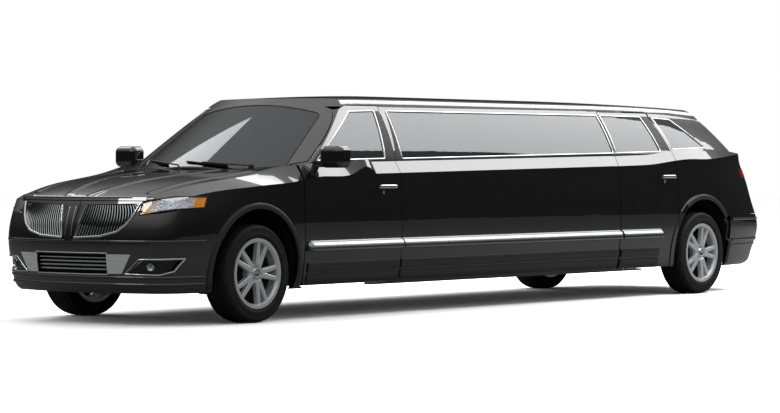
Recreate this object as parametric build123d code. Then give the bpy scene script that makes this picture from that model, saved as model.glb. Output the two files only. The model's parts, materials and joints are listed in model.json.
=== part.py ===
"""Stretch limousine: an eight-metre saloon on a lengthened tall-wagon body.

Millimetres. +X points forward, +Y to the car's left, +Z up. The origin is on the ground, under the middle
of the car's length and width. Stations are measured from the front axle or from the rear axle.
"""
from build123d import *
from functools import lru_cache
from math import atan2, cos, pi, radians, sin, sqrt, tan
import os

os.makedirs("parts", exist_ok=True)

# ---------------------------------------------------------------- driving dimensions
BASE_WHEELBASE = 2995.0          # the unstretched car
STRETCH = 3048.0                 # the added middle section, ten feet
FRONT_OVERHANG = 1025.0
REAR_OVERHANG = 1253.0
HALF_WIDTH = 955.0               # at the widest level of the body side
ROOF_HEIGHT = 1712.0
FLOOR_Z = 300.0                  # top of the cabin floor
FLOOR_THICK = 35.0
SILL_Z = 240.0                   # underside of the sills

TRACK = 1650.0
TYRE_DIAMETER = 728.0            # 245/50 R19
TYRE_WIDTH = 245.0
RIM_DIAMETER = 520.0             # over the flanges
ARCH_RADIUS = 452.0
ARCH_LIFT = 22.0                 # the arch's centre lies this far above the wheel's

SKIN = 32.0                      # fenders, bumper covers and hood
DOOR_WALL = 80.0                 # doors and side walls below the belt
FRAME_WALL = 45.0                # window frames, pillars and roof
GLASS = 6.0
GLASS_SINK = 5.0                 # how far the panes lie under the outer surface
GAP = 6.0                        # between one panel and the next
SEAT_GAP = 0.3                   # between a piece and what it rests on

WHEELBASE = BASE_WHEELBASE + STRETCH
LENGTH = FRONT_OVERHANG + WHEELBASE + REAR_OVERHANG
FRONT_AXLE = LENGTH / 2 - FRONT_OVERHANG
REAR_AXLE = FRONT_AXLE - WHEELBASE
AXLE_Z = TYRE_DIAMETER / 2
BIG = 3000.0


def front(distance):
    """X of a station this far ahead of the front axle."""
    return FRONT_AXLE + distance


def rear(distance):
    """X of a station this far ahead of the rear axle."""
    return REAR_AXLE + distance


# ---------------------------------------------------------------- helpers
def block(x0, x1, y0, y1, z0, z1):
    return Pos((x0 + x1) / 2, (y0 + y1) / 2, (z0 + z1) / 2) * Box(abs(x1 - x0), abs(y1 - y0), abs(z1 - z0))


def side_prism(points, y0, y1, radii=None):
    """A solid whose outline is given in side view, from y0 to y1."""
    wire = FilletPolyline(*[(x, 0, z) for x, z in points], radius=radii, close=True) if radii \
        else Polyline(*[(x, 0, z) for x, z in points], close=True)
    face = make_face(wire)
    return Pos(0, y0, 0) * extrude(face, amount=y1 - y0, dir=(0, 1, 0))


def front_prism(points, x0, x1, radii=None):
    """A solid whose outline is given in front view, from x0 to x1."""
    wire = FilletPolyline(*[(0, y, z) for y, z in points], radius=radii, close=True) if radii \
        else Polyline(*[(0, y, z) for y, z in points], close=True)
    return Pos(x0, 0, 0) * extrude(make_face(wire), amount=x1 - x0, dir=(1, 0, 0))


def top_prism(points, z0, z1, radii=None):
    """A solid whose outline is given from above, from z0 to z1."""
    wire = FilletPolyline(*[(x, y, 0) for x, y in points], radius=radii, close=True) if radii \
        else Polyline(*[(x, y, 0) for x, y in points], close=True)
    return Pos(0, 0, z0) * extrude(make_face(wire), amount=z1 - z0, dir=(0, 0, 1))


def cross_bar(x, z, radius, y0, y1):
    """A round bar across the car."""
    return Pos(x, (y0 + y1) / 2, z) * Rot(90, 0, 0) * Cylinder(radius, abs(y1 - y0))


def other_side(shape):
    return mirror(shape, about=Plane.XZ)


def both_sides(shape):
    return Compound(children=solids_of(shape) + solids_of(other_side(shape)))


def solids_of(shape):
    return list(shape.solids())


def largest(shape):
    """The biggest solid of a result, without its slivers."""
    return max(solids_of(shape), key=lambda s: s.volume)


def write(name, *shapes):
    """One STEP per piece. Several solids of one node must not touch."""
    found = [s for shape in shapes for s in solids_of(shape)]
    export_step(found[0] if len(found) == 1 else Compound(children=found), f"parts/{name}.step")


# ---------------------------------------------------------------- the body's outer surfaces
class End:
    """One rounded end of a plan outline: a long side arc, a corner arc and a wide end arc, all tangent."""

    def __init__(self, side_radius, side_turn, corner_radius, corner_end):
        self.side_radius, self.side_turn = side_radius, radians(side_turn)
        self.corner_radius, self.corner_end = corner_radius, radians(corner_end)

    def points(self, half_width, tip, direction, inset, end_inset):
        """Arc ends and middles from the straight side to the tip, on the left. direction is +1 for the nose."""
        a, b = self.side_turn, self.corner_end
        y_b = half_width - self.side_radius * (1 - cos(a)) - self.corner_radius * (cos(a) - cos(b))
        end_radius = y_b / cos(b)
        reach = (self.side_radius * sin(a) + self.corner_radius * (sin(b) - sin(a))
                 + end_radius * (1 - sin(b)))
        start = tip - direction * reach
        out = []
        centre_x, centre_y, turned = 0.0, half_width - self.side_radius, 0.0
        for radius, until in ((self.side_radius, a), (self.corner_radius, b), (end_radius, pi / 2)):
            if out:
                previous = out[-1][3]
                centre_x += (previous - radius) * sin(turned)
                centre_y += (previous - radius) * cos(turned)
            trimmed = radius - inset
            steps = [(start + direction * (centre_x + trimmed * sin(t)) - direction * end_inset,
                      centre_y + trimmed * cos(t)) for t in (turned, (turned + until) / 2, until)]
            out.append((*steps, radius))
            turned = until
        return [entry[:3] for entry in out]


def plan_outline(z, half_width, nose, tail, nose_end, tail_end, inset=0.0, nose_inset=0.0, tail_inset=0.0):
    """A closed face at height z: straight sides with a rounded nose and tail."""
    f = nose_end.points(half_width, nose, 1, inset, nose_inset)
    r = tail_end.points(half_width, tail, -1, inset, tail_inset)

    def arc(a, m, b, s=1):
        return ThreePointArc((a[0], s * a[1], z), (m[0], s * m[1], z), (b[0], s * b[1], z))

    nose_tip, tail_tip = f[2][2], r[2][2]
    nose_start, tail_start = f[2][0], r[2][0]
    edges = [Line((r[0][0][0], r[0][0][1], z), (f[0][0][0], f[0][0][1], z)), arc(*f[0]), arc(*f[1]),
             ThreePointArc((*nose_start, z), (nose_tip[0], 0, z), (nose_start[0], -nose_start[1], z)),
             arc(f[1][2], f[1][1], f[1][0], -1), arc(f[0][2], f[0][1], f[0][0], -1),
             Line((f[0][0][0], -f[0][0][1], z), (r[0][0][0], -r[0][0][1], z)),
             arc(*r[0], -1), arc(*r[1], -1),
             ThreePointArc((tail_start[0], -tail_start[1], z), (tail_tip[0], 0, z), (*tail_start, z)),
             arc(r[1][2], r[1][1], r[1][0]), arc(r[0][2], r[0][1], r[0][0])]
    return make_face(Wire(edges))


# Body levels: height, half width, nose ahead of the front axle, tail ahead of the rear axle,
# nose corner radius, tail corner radius.
BODY_LEVELS = [
    (SILL_Z - 5, HALF_WIDTH - 62, 950, -1080, 250, 190),
    (330, HALF_WIDTH - 30, 1000, -1190, 250, 190),
    (460, HALF_WIDTH - 12, 1016, -1236, 250, 180),
    (620, HALF_WIDTH, FRONT_OVERHANG, -REAR_OVERHANG, 250, 170),
    (740, HALF_WIDTH + 1, 1005, -1195, 250, 170),
    (880, HALF_WIDTH - 4, 955, -1130, 250, 180),
    (1020, HALF_WIDTH - 14, 890, -1075, 250, 190),
    (1170, HALF_WIDTH - 24, 825, -995, 250, 195),
    (1320, HALF_WIDTH - 34, 760, -915, 250, 200),
]
NOSE_SIDE_RADIUS, NOSE_SIDE_TURN, NOSE_CORNER_END = 2150.0, 18.0, 72.0
TAIL_SIDE_RADIUS, TAIL_SIDE_TURN, TAIL_CORNER_END = 3600.0, 13.0, 76.0

# Body top: x, height on the centre line, half width and height of the shoulder, fall of the side outside it.
# The end sections are lofted smoothly, and the straight middle joins the last of the one to the first of the other.
TOP_FRONT = [
    (front(1300), 690, 600, 660, 0.50),
    (front(1000), 900, 640, 868, 0.42),
    (front(700), 1005, 680, 968, 0.32),
    (front(400), 1062, 720, 1026, 0.28),
    (front(100), 1096, 757, 1062, 0.34),
    (front(-200), 1122, 805, 1102, 0.60),
    (front(-500), 1148, 862, 1155, 1.40),
    (front(-800), 1158, 882, 1174, 1.80),
    (front(-1100), 1162, 886, 1180, 1.85),
    (front(-1400), 1166, 886, 1184, 1.85),
]
TOP_REAR = [
    (rear(1400), 1206, 886, 1226, 1.85),
    (rear(1100), 1210, 886, 1230, 1.85),
    (rear(800), 1216, 886, 1238, 1.85),
    (rear(500), 1234, 885, 1264, 1.85),
    (rear(200), 1246, 881, 1288, 1.80),
    (rear(-100), 1246, 872, 1290, 1.65),
    (rear(-400), 1236, 856, 1280, 1.45),
    (rear(-700), 1214, 832, 1258, 1.25),
    (rear(-1000), 1180, 800, 1222, 1.10),
    (rear(-1300), 1136, 760, 1176, 1.00),
]

# Greenhouse: x, half width and height of the belt, half width and height of the window's top edge,
# height of the roof on the centre line.
HOUSE_FRONT = [
    (front(-150), 880, 1185, 740, 1500, 1590),
    (front(-500), 882, 1188, 724, 1535, 1624),
    (front(-850), 884, 1191, 710, 1563, 1654),
    (front(-1200), 885, 1194, 702, 1580, 1679),
    (front(-1550), 886, 1198, 700, 1587, 1697),
    (front(-1900), 886, 1202, 700, 1588, 1708),
    (front(-2250), 886, 1206, 700, 1588, ROOF_HEIGHT),
]
HOUSE_REAR = [
    (rear(1500), 886, 1242, 700, 1581, 1704),
    (rear(1150), 886, 1246, 700, 1579, 1700),
    (rear(800), 886, 1250, 699, 1576, 1694),
    (rear(450), 883, 1256, 695, 1571, 1686),
    (rear(100), 874, 1262, 686, 1563, 1676),
    (rear(-250), 858, 1264, 671, 1552, 1663),
    (rear(-600), 834, 1262, 650, 1538, 1647),
    (rear(-950), 802, 1256, 622, 1520, 1628),
]
HOUSE_FLOOR_Z = 1105.0
WINDOW_BULGE = 15.0              # the side glass's arc stands this far outside its chord
ROOF_EDGE_OUT, ROOF_EDGE_UP = 118.0, 92.0    # from the window's top edge to where the crown starts

SCREEN_FOOT, SCREEN_FOOT_Z = front(-240), 1120.0     # a point of the windscreen on the centre line
SCREEN_RAKE, SCREEN_BOW = 31.0, 2300.0               # from the level; radius across the car
BACKLIGHT_FOOT, BACKLIGHT_FOOT_Z = rear(-925), 1200.0
TAIL_FOOT_Z = 1165.0
BACKLIGHT_RAKE, BACKLIGHT_BOW = 39.0, 2600.0


@lru_cache
def body_sides(inset=0.0):
    """The lower body's sides, nose and tail, without its top."""
    faces = [plan_outline(z, w, front(nose), rear(tail),
                          End(NOSE_SIDE_RADIUS, NOSE_SIDE_TURN, nose_corner, NOSE_CORNER_END),
                          End(TAIL_SIDE_RADIUS, TAIL_SIDE_TURN, tail_corner, TAIL_CORNER_END), inset)
             for z, w, nose, tail, nose_corner, tail_corner in BODY_LEVELS]
    return loft(faces)


def top_section(x, centre, half, height, fall, drop):
    """A face across the car under the hood or deck surface and the facets outside its shoulders."""
    outer = HALF_WIDTH + 120
    z = height - drop
    low = z - fall * (outer - half)
    edges = [Line((x, outer, -200), (x, outer, low)), Line((x, outer, low), (x, half, z)),
             ThreePointArc((x, half, z), (x, 0, centre - drop), (x, -half, z)),
             Line((x, -half, z), (x, -outer, low)), Line((x, -outer, low), (x, -outer, -200)),
             Line((x, -outer, -200), (x, outer, -200))]
    return make_face(Wire(edges))


def house_section(x, belt_half, belt_z, top_half, top_z, roof_z, inset):
    """A face across the greenhouse: window arcs, tight roof edges and the roof's crown."""
    across = inset / cos(atan2(belt_half - top_half, top_z - belt_z))
    half, top, roof = belt_half - across, top_half - across, roof_z - inset
    edge_y, edge_z = top_half - ROOF_EDGE_OUT, top_z + ROOF_EDGE_UP - inset
    foot = half - 8

    def left_side(s):
        window_mid = (x, s * ((half + top) / 2 + WINDOW_BULGE), (belt_z + top_z) / 2)
        corner = (x, s * (top * 0.42 + edge_y * 0.58 + 16), top_z * 0.42 + edge_z * 0.58 + 12)
        return [Line((x, s * foot, HOUSE_FLOOR_Z), (x, s * half, belt_z)),
                ThreePointArc((x, s * half, belt_z), window_mid, (x, s * top, top_z)),
                ThreePointArc((x, s * top, top_z), corner, (x, s * edge_y, edge_z))]

    edges = left_side(1) + left_side(-1)
    edges += [ThreePointArc((x, edge_y, edge_z), (x, 0, roof), (x, -edge_y, edge_z)),
              Line((x, foot, HOUSE_FLOOR_Z), (x, -foot, HOUSE_FLOOR_Z))]
    return make_face(Wire(edges))


def through(first, last):
    """A solid through two lists of sections, smooth in each, with a straight middle between them."""
    return loft(first) + loft([first[-1], last[0]], ruled=True) + loft(last)


@lru_cache
def body_top(drop=0.0):
    """Everything under the hood, shoulder and deck surfaces."""
    return through([top_section(*row, drop) for row in TOP_FRONT], [top_section(*row, drop) for row in TOP_REAR])


def ahead_of_glass(x, z, rake, bow, inset, direction):
    """What lies outside a bowed windscreen or rear window. direction is +1 for the windscreen."""
    lean = radians(rake)
    centre = Pos(x - direction * sin(lean) * bow, 0, z - cos(lean) * bow)
    slab = Pos(direction * bow, 0, 0) * Box(1400, 2 * BIG, 2600)
    return centre * Rot(0, -direction * (90 - rake), 0) * (slab - Cylinder(bow - inset, 2 * BIG))


@lru_cache
def greenhouse(inset=0.0):
    """The cabin above the belt: its sides and roof, cut off by the windscreen and the rear window."""
    shell = through([house_section(*row, inset) for row in HOUSE_FRONT],
                    [house_section(*row, inset) for row in HOUSE_REAR])
    shell -= ahead_of_glass(SCREEN_FOOT, SCREEN_FOOT_Z, SCREEN_RAKE, SCREEN_BOW, inset, 1)
    shell -= ahead_of_glass(BACKLIGHT_FOOT, BACKLIGHT_FOOT_Z, BACKLIGHT_RAKE, BACKLIGHT_BOW, inset, -1)
    return shell - block(rear(-1500), rear(-700), -1300, 1300, 0, TAIL_FOOT_Z)


# ---------------------------------------------------------------- shut lines, seen from the side
DOOR_TAPER = tan(radians(12))    # the edges of the doors close in towards the cabin
SKIN_PLANE = HALF_WIDTH - 5      # the plane in which door outlines are drawn
DEEP_PLANE = 560.0
DOOR_BOTTOM = 256.0
FRONT_DOOR_NOSE, FRONT_DOOR_TAIL = front(-530), front(-1690)
REAR_DOOR_NOSE, REAR_DOOR_TAIL = rear(1303), rear(413)
CANT_FRONT, CANT_REAR = 1618.0, 1604.0       # top edge of the front and rear door frames
FRAME_BORDER = 26.0              # door frame seen round its window


def grown(points, amount):
    """A polygon moved out by amount, its corners kept sharp. Points run anticlockwise as x, z."""
    out = []
    for i, (x, z) in enumerate(points):
        (ax, az), (bx, bz) = points[i - 1], points[(i + 1) % len(points)]
        u = Vector(x - ax, z - az).normalized()
        v = Vector(bx - x, bz - z).normalized()
        n1, n2 = Vector(u.Y, -u.X), Vector(v.Y, -v.X)
        bisector = (n1 + n2) * (amount / (1 + n1.dot(n2)))
        out.append((x + bisector.X, z + bisector.Y))
    return out


def door_prism(points, amount=0.0):
    """The left-hand space inside a door outline. It narrows towards the cabin at its front and rear edges."""
    outline = grown(points, amount)
    middle = (min(x for x, _ in outline) + max(x for x, _ in outline)) / 2
    faces = []
    for y, shift in ((SKIN_PLANE + 60, -60 * DOOR_TAPER), (DEEP_PLANE, (SKIN_PLANE - DEEP_PLANE) * DOOR_TAPER)):
        moved = [(x + (shift if x < middle else -shift), y, z) for x, z in outline]
        faces.append(make_face(Polyline(*moved, close=True)))
    return loft(faces, ruled=True)


# Outlines run anticlockwise as seen from the right: x to the right, z up.
FRONT_DOOR_OUTLINE = [
    (FRONT_DOOR_TAIL, DOOR_BOTTOM), (FRONT_DOOR_NOSE, DOOR_BOTTOM), (FRONT_DOOR_NOSE, 1162),
    (front(-655), 1186), (front(-1275), 1588), (front(-1370), CANT_FRONT), (front(-1775), CANT_FRONT),
    (front(-1704), 1190),
]
REAR_DOOR_OUTLINE = [
    (REAR_DOOR_TAIL, DOOR_BOTTOM), (REAR_DOOR_NOSE, DOOR_BOTTOM), (rear(1317), 1220), (rear(1356), CANT_REAR),
    (rear(470), CANT_REAR - 4), (rear(410), 1262), (REAR_DOOR_TAIL, 1150),
]
FRONT_WINDOW = [
    (front(-1575), 1206), (front(-745), 1192), (front(-1335), 1572), (front(-1650), 1580),
]
LONG_WINDOW = [
    (rear(1325), 1248), (front(-1785), 1206), (front(-1800), 1580), (rear(1325), 1574),
]
REAR_WINDOW = [
    (rear(583), 1262), (rear(1279), 1250), (rear(1279), 1573), (rear(650), 1567),
]
QUARTER_WINDOW = [
    (rear(-197), 1297), (rear(390), 1282), (rear(462), 1561), (rear(180), 1548),
]
GATE_AXIS_X, GATE_AXIS_Z, GATE_ROUND = rear(-338), 1640.0, 30.0
GATE_HINGE_YS, EAR_SLOT, EAR_THICK, PIN_RADIUS = (260.0,), 18.0, 10.0, 5.0
LIFTGATE_LINE = [
    (rear(-1500), 700), (rear(-905), 700), (rear(-880), 1040), (rear(-800), 1215), (GATE_AXIS_X, 1622),
    (GATE_AXIS_X, 1800), (rear(-1500), 1800),
]
REAR_BUMPER_LINE = [
    (rear(-1500), 200), (rear(0), 200), (rear(0), 560), (rear(-440), 690), (rear(-905), 694), (rear(-1500), 694),
]
FRONT_BUMPER_LINE = [
    (front(0), 200), (front(1400), 200), (front(1400), 902), (front(980), 902), (front(985), 780),
    (front(745), 832), (front(530), 846), (front(515), 850), (front(440), 640), (front(0), 560),
]
HEADLAMP_LINE = [
    (front(486), 938), (front(530), 852), (front(745), 838), (front(985), 786), (front(1400), 786),
    (front(1400), 896), (front(930), 905), (front(700), 940),
]
HOOD_EDGE_Z = 908.0
HOOD_OUTLINE = [
    (front(-262), -722), (front(100), -712), (front(600), -660), (front(1400), -520),
    (front(1400), 520), (front(600), 660), (front(100), 712), (front(-262), 722),
]


FLARE_WIDTH, FLARE_PROUD = 52.0, 7.0
MOULDING_NOSE, MOULDING_TAIL = front(-545), rear(650)
MOULDING_SECTION = [(905, 513), (HALF_WIDTH + 8, 513), (HALF_WIDTH + 10, 522), (HALF_WIDTH, 585), (905, 590)]


def side_cut(points, amount=0.0):
    """A side-view polygon as a solid right across the car."""
    return side_prism(grown(points, amount), -1400, 1400)


def arch_cut(axle_x, y0=300.0, y1=1400.0, clearance=0.0):
    """The wheel opening on the left."""
    return cross_bar(axle_x, AXLE_Z + ARCH_LIFT, ARCH_RADIUS + clearance, y0, y1)


# ---------------------------------------------------------------- the body's walls
left_half = block(-5000, 5000, 0, 1300, 0, 2000)
lower_body = body_sides() & body_top()


def flare(axle_x):
    """The proud band round a wheel opening, on the left."""
    ring = arch_cut(axle_x, 800, 1100, FLARE_WIDTH) - arch_cut(axle_x, 790, 1110, -20)
    return ((body_sides(-FLARE_PROUD) & ring) - body_sides(SKIN)) & block(-5000, 5000, 0, 1300, SILL_Z, 1300)


side_moulding = front_prism(MOULDING_SECTION, MOULDING_TAIL, MOULDING_NOSE)
lower_left = largest((lower_body & left_half) + flare(FRONT_AXLE) + flare(REAR_AXLE) + side_moulding)
house_left = greenhouse() & left_half
house_wall = house_left - greenhouse(FRAME_WALL)
grown_house = greenhouse(-SEAT_GAP)
clear_house = greenhouse(-GAP)
skin_core = body_sides(SKIN) & body_top(SKIN)
door_core = body_sides(DOOR_WALL) & body_top(SKIN)
car_left = largest(lower_left + house_left)
skin_left = lower_left - skin_core
front_arch = arch_cut(FRONT_AXLE)
rear_arch = arch_cut(REAR_AXLE)


def panel(zone, core):
    """A side panel with the wall above it: the body inside a zone, hollowed below and above the belt."""
    return largest(((car_left & zone) - core) - greenhouse(FRAME_WALL))


def swing_room(nose):
    """Room in the pillar ahead of a hinged edge for the door's corner to turn through."""
    return block(nose - 40, nose + GAP + 2, 800, 1300, DOOR_BOTTOM - GAP, 1165)


def window_cut(points, amount=0.0):
    return side_prism(grown(points, amount), 300, 1400)


# ---------------------------------------------------------------- doors
front_door_zone = door_prism(FRONT_DOOR_OUTLINE)
rear_door_zone = door_prism(REAR_DOOR_OUTLINE)
front_door_hole = door_prism(FRONT_DOOR_OUTLINE, GAP)
rear_door_hole = door_prism(REAR_DOOR_OUTLINE, GAP)

front_door = largest(panel(front_door_zone, door_core) - window_cut(FRONT_WINDOW))
rear_door = largest(panel(rear_door_zone, door_core) - window_cut(REAR_WINDOW) - rear_arch)
panes = greenhouse(GLASS_SINK) - greenhouse(GLASS_SINK + GLASS)
front_door_glass = panes & window_cut(FRONT_WINDOW, -SEAT_GAP)
rear_door_glass = panes & window_cut(REAR_WINDOW, -SEAT_GAP)

# Door hinges: a lug on the door between two ears on a fixed arm, with the pin through all three.
HINGE_BACK, HINGE_Y, HINGE_HEIGHTS = 60.0, 938.0, (600.0, 860.0)
LUG_RADIUS, LUG_HALF, EAR_HALF, POCKET_HALF = 9.0, 12.0, 22.0, 32.0
POST_INNER_Y, POST_OUTER_Y = 740.0, 812.0


def upright_bar(x, y, radius, z0, z1):
    return Pos(x, y, (z0 + z1) / 2) * Cylinder(radius, z1 - z0)


def hinged_door(door, axis_x):
    """The door with its hinge pockets and lugs. Its moulding starts a little behind the turning edge."""
    door -= block(axis_x + 46, axis_x + 90, HALF_WIDTH + 2, HALF_WIDTH + 40, 505, 600)
    for z in HINGE_HEIGHTS:
        door -= block(axis_x - 55, axis_x + 90, 700, HINGE_Y + 10, z - POCKET_HALF, z + POCKET_HALF)
        lug = upright_bar(axis_x, HINGE_Y, LUG_RADIUS, z - LUG_HALF, z + LUG_HALF)
        lug += block(axis_x - 60, axis_x, HINGE_Y - 8, HINGE_Y + 8, z - LUG_HALF, z + LUG_HALF)
        door += lug - upright_bar(axis_x, HINGE_Y, PIN_RADIUS + SEAT_GAP, z - 30, z + 30)
    return largest(door)


def hinge_post(axis_x):
    """The fixed post inside a door's front edge, with the hinge arms and pins."""
    post = block(axis_x - 30, axis_x + 50, POST_INNER_Y, POST_OUTER_Y, FLOOR_Z - FLOOR_THICK, 1000)
    for z in HINGE_HEIGHTS:
        arm = block(axis_x - LUG_RADIUS, axis_x + LUG_RADIUS, POST_INNER_Y + 5, HINGE_Y, z - EAR_HALF, z + EAR_HALF)
        arm += upright_bar(axis_x, HINGE_Y, LUG_RADIUS, z - EAR_HALF, z + EAR_HALF)
        arm -= upright_bar(axis_x, HINGE_Y, LUG_RADIUS + 4, z - LUG_HALF - SEAT_GAP, z + LUG_HALF + SEAT_GAP)
        post += arm + upright_bar(axis_x, HINGE_Y, PIN_RADIUS, z - EAR_HALF, z + EAR_HALF)
    return post


FRONT_HINGE_X, REAR_HINGE_X = FRONT_DOOR_NOSE - HINGE_BACK, REAR_DOOR_NOSE - HINGE_BACK
front_door = hinged_door(front_door, FRONT_HINGE_X)
rear_door = hinged_door(rear_door, REAR_HINGE_X)

for side, place in (("left", lambda s: s), ("right", other_side)):
    write(f"front_door_{side}", place(front_door))
    write(f"rear_door_{side}", place(rear_door))
    write(f"front_door_glass_{side}", place(front_door_glass))
    write(f"rear_door_glass_{side}", place(rear_door_glass))

# Door handles: a grip on two feet, standing off the skin.
HANDLE_LENGTH, HANDLE_HEIGHT, HANDLE_THICK, HANDLE_REACH = 230.0, 30.0, 16.0, 46.0
HANDLE_FOOT = 34.0
HANDLE_ROWS = [("front_handle", FRONT_DOOR_TAIL + 205, 992.0), ("rear_handle", REAR_DOOR_TAIL + 185, 1046.0)]
for name, x, z in HANDLE_ROWS:
    skin_y = (body_sides() & block(x - 60, x + 60, 700, 1200, z - 14, z + 14)).bounding_box().max.Y
    grip = block(x - HANDLE_LENGTH / 2, x + HANDLE_LENGTH / 2, skin_y + HANDLE_REACH - HANDLE_THICK,
                 skin_y + HANDLE_REACH, z - HANDLE_HEIGHT / 2, z + HANDLE_HEIGHT / 2)
    grip = fillet(grip.edges().filter_by(Axis.Z), 7)
    feet = block(x - HANDLE_LENGTH / 2 + 2, x - HANDLE_LENGTH / 2 + HANDLE_FOOT, skin_y - 30,
                 skin_y + HANDLE_REACH - HANDLE_THICK / 2, z - 12, z + 12)
    feet = feet + Pos(HANDLE_LENGTH - HANDLE_FOOT - 2, 0, 0) * feet
    handle = (grip + feet) - body_sides(-SEAT_GAP)
    write(f"{name}_left", handle)
    write(f"{name}_right", other_side(handle))

# Door mirrors: a shell on a short arm, carried by the front door.
MIRROR_X, MIRROR_Y, MIRROR_Z = front(-735), HALF_WIDTH + 105, 1222.0
MIRROR_DEPTH, MIRROR_WIDTH, MIRROR_HEIGHT = 120.0, 220.0, 165.0
mirror_shell = block(MIRROR_X - MIRROR_DEPTH / 2, MIRROR_X + MIRROR_DEPTH / 2, MIRROR_Y - MIRROR_WIDTH / 2,
                     MIRROR_Y + MIRROR_WIDTH / 2, MIRROR_Z - MIRROR_HEIGHT / 2, MIRROR_Z + MIRROR_HEIGHT / 2)
mirror_shell = fillet(mirror_shell.faces().sort_by(Axis.X)[-1].edges() + mirror_shell.edges().filter_by(Axis.X), 48)
mirror_arm = block(MIRROR_X - 20, MIRROR_X + 30, 880, MIRROR_Y - 40, MIRROR_Z - 78, MIRROR_Z - 44)
door_mirror = (mirror_shell + mirror_arm) - greenhouse(-SEAT_GAP) - (body_sides(-SEAT_GAP) & body_top(-SEAT_GAP))
door_mirror = largest(door_mirror)
write("mirror_left", door_mirror)
write("mirror_right", other_side(door_mirror))

# ---------------------------------------------------------------- fixed side panels and roof
side_zone = block(REAR_DOOR_NOSE - 400, FRONT_DOOR_TAIL + 300, 0, 1300, SILL_Z - 20, 1612)
side_panel = panel(side_zone, door_core) - front_door_hole - rear_door_hole - swing_room(REAR_DOOR_NOSE + 8)
side_panel -= window_cut(LONG_WINDOW)
side_panel = largest(side_panel)
write("side_panels", both_sides(side_panel))
write("side_glass", both_sides(panes & window_cut(LONG_WINDOW, -SEAT_GAP)))

def gate_space(clearance=0.0):
    """The liftgate's outline in side view, its hinged edge rounded about the hinge's axis."""
    return side_cut(LIFTGATE_LINE, clearance) + cross_bar(GATE_AXIS_X, GATE_AXIS_Z, GATE_ROUND + clearance, -1400, 1400)


gate_zone = gate_space()
gate_hole = gate_space(GAP)
quarter_zone = block(rear(-1500), rear(500), 0, 1300, 200, 1612)
quarter = panel(quarter_zone, skin_core)
quarter = quarter - rear_door_hole - rear_arch - gate_hole
quarter -= side_cut(REAR_BUMPER_LINE, SEAT_GAP)
quarter -= window_cut(QUARTER_WINDOW)
quarter -= block(rear(-1500), rear(500), -10, 700, 200, 1500)
quarter = largest(quarter)
write("quarter_panels", both_sides(quarter))
write("quarter_glass", both_sides(panes & window_cut(QUARTER_WINDOW, -SEAT_GAP)))

# Windscreen opening, drawn square to the glass: half width at its foot and at its head.
SCREEN_LOW_HALF, SCREEN_HIGH_HALF, SCREEN_LOW_UP, SCREEN_HIGH_UP = 790.0, 600.0, 45.0, 985.0
BACK_LOW_HALF, BACK_HIGH_HALF, BACK_LOW_UP, BACK_HIGH_UP = 565.0, 430.0, 55.0, 480.0


def glass_prism(x, z, rake, direction, low_half, high_half, low_up, high_up, amount=0.0):
    """A prism square to a raked glass, between two distances up the slope from its foot."""
    points = grown([(low_up, -low_half), (high_up, -high_half), (high_up, high_half), (low_up, low_half)], amount)
    outline = make_face(FilletPolyline(*[(up, y, 0) for up, y in points], radius=45, close=True))
    prism = extrude(outline, amount=500, both=True, dir=(0, 0, 1))
    turn = Rot(0, 0, 180) if direction > 0 else Rot(0, 0, 0)
    return Pos(x, 0, z) * Rot(0, direction * rake, 0) * turn * prism


def screen_cut(amount=0.0):
    return glass_prism(SCREEN_FOOT, SCREEN_FOOT_Z, SCREEN_RAKE, 1, SCREEN_LOW_HALF, SCREEN_HIGH_HALF,
                       SCREEN_LOW_UP, SCREEN_HIGH_UP, amount)


def back_cut(amount=0.0):
    return glass_prism(BACKLIGHT_FOOT, BACKLIGHT_FOOT_Z, BACKLIGHT_RAKE, -1, BACK_LOW_HALF, BACK_HIGH_HALF,
                       BACK_LOW_UP, BACK_HIGH_UP, amount)


roof = house_wall - front_door_hole - rear_door_hole - gate_hole - screen_cut()
roof -= block(rear(-1500), front(-1200), 0, 1300, 1000, 1612 + SEAT_GAP)
roof -= lower_left - door_core
roof = largest(roof)
for y in GATE_HINGE_YS:
    roof += block(GATE_AXIS_X - 5, GATE_AXIS_X + GATE_ROUND + 14, y - EAR_THICK / 2, y + EAR_THICK / 2,
                  GATE_AXIS_Z - 10, GATE_AXIS_Z + 5)
    roof += cross_bar(GATE_AXIS_X, GATE_AXIS_Z, PIN_RADIUS, y - 20, y + 20)
write("roof", largest(roof + other_side(roof)))
write("windscreen", panes & screen_cut(-SEAT_GAP))

# ---------------------------------------------------------------- liftgate
tail_box = block(rear(-1500), rear(-200), -1300, 1300, 500, 1900)
gate_left = ((car_left & gate_zone) - skin_core) - greenhouse(FRAME_WALL) - back_cut()
LAMP_LINE = [(rear(-1200), 990), (rear(-960), 985), (rear(-898), 1015), (rear(-905), 1120), (rear(-985), 1160),
             (rear(-1200), 1150)]
LAMP_INNER_Y = 560.0
lamp_space = side_prism(LAMP_LINE, LAMP_INNER_Y, 1300)
lamp_shell = skin_left & tail_box
tail_lamp = lamp_shell & side_prism(grown(LAMP_LINE, -SEAT_GAP), LAMP_INNER_Y + SEAT_GAP, 1300)
lamp_recess = lamp_space & lamp_shell
gate_left = largest(gate_left - lamp_recess)
for y in GATE_HINGE_YS:
    gate_left -= cross_bar(GATE_AXIS_X, GATE_AXIS_Z, GATE_ROUND + 16, y - EAR_SLOT / 2, y + EAR_SLOT / 2)
    gate_left -= cross_bar(GATE_AXIS_X, GATE_AXIS_Z, PIN_RADIUS + SEAT_GAP, y - 22, y + 22)
liftgate = largest(gate_left + other_side(gate_left))
write("liftgate", liftgate)
write("liftgate_glass", panes & back_cut(-SEAT_GAP))
write("tail_lamps", both_sides(tail_lamp))

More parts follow.
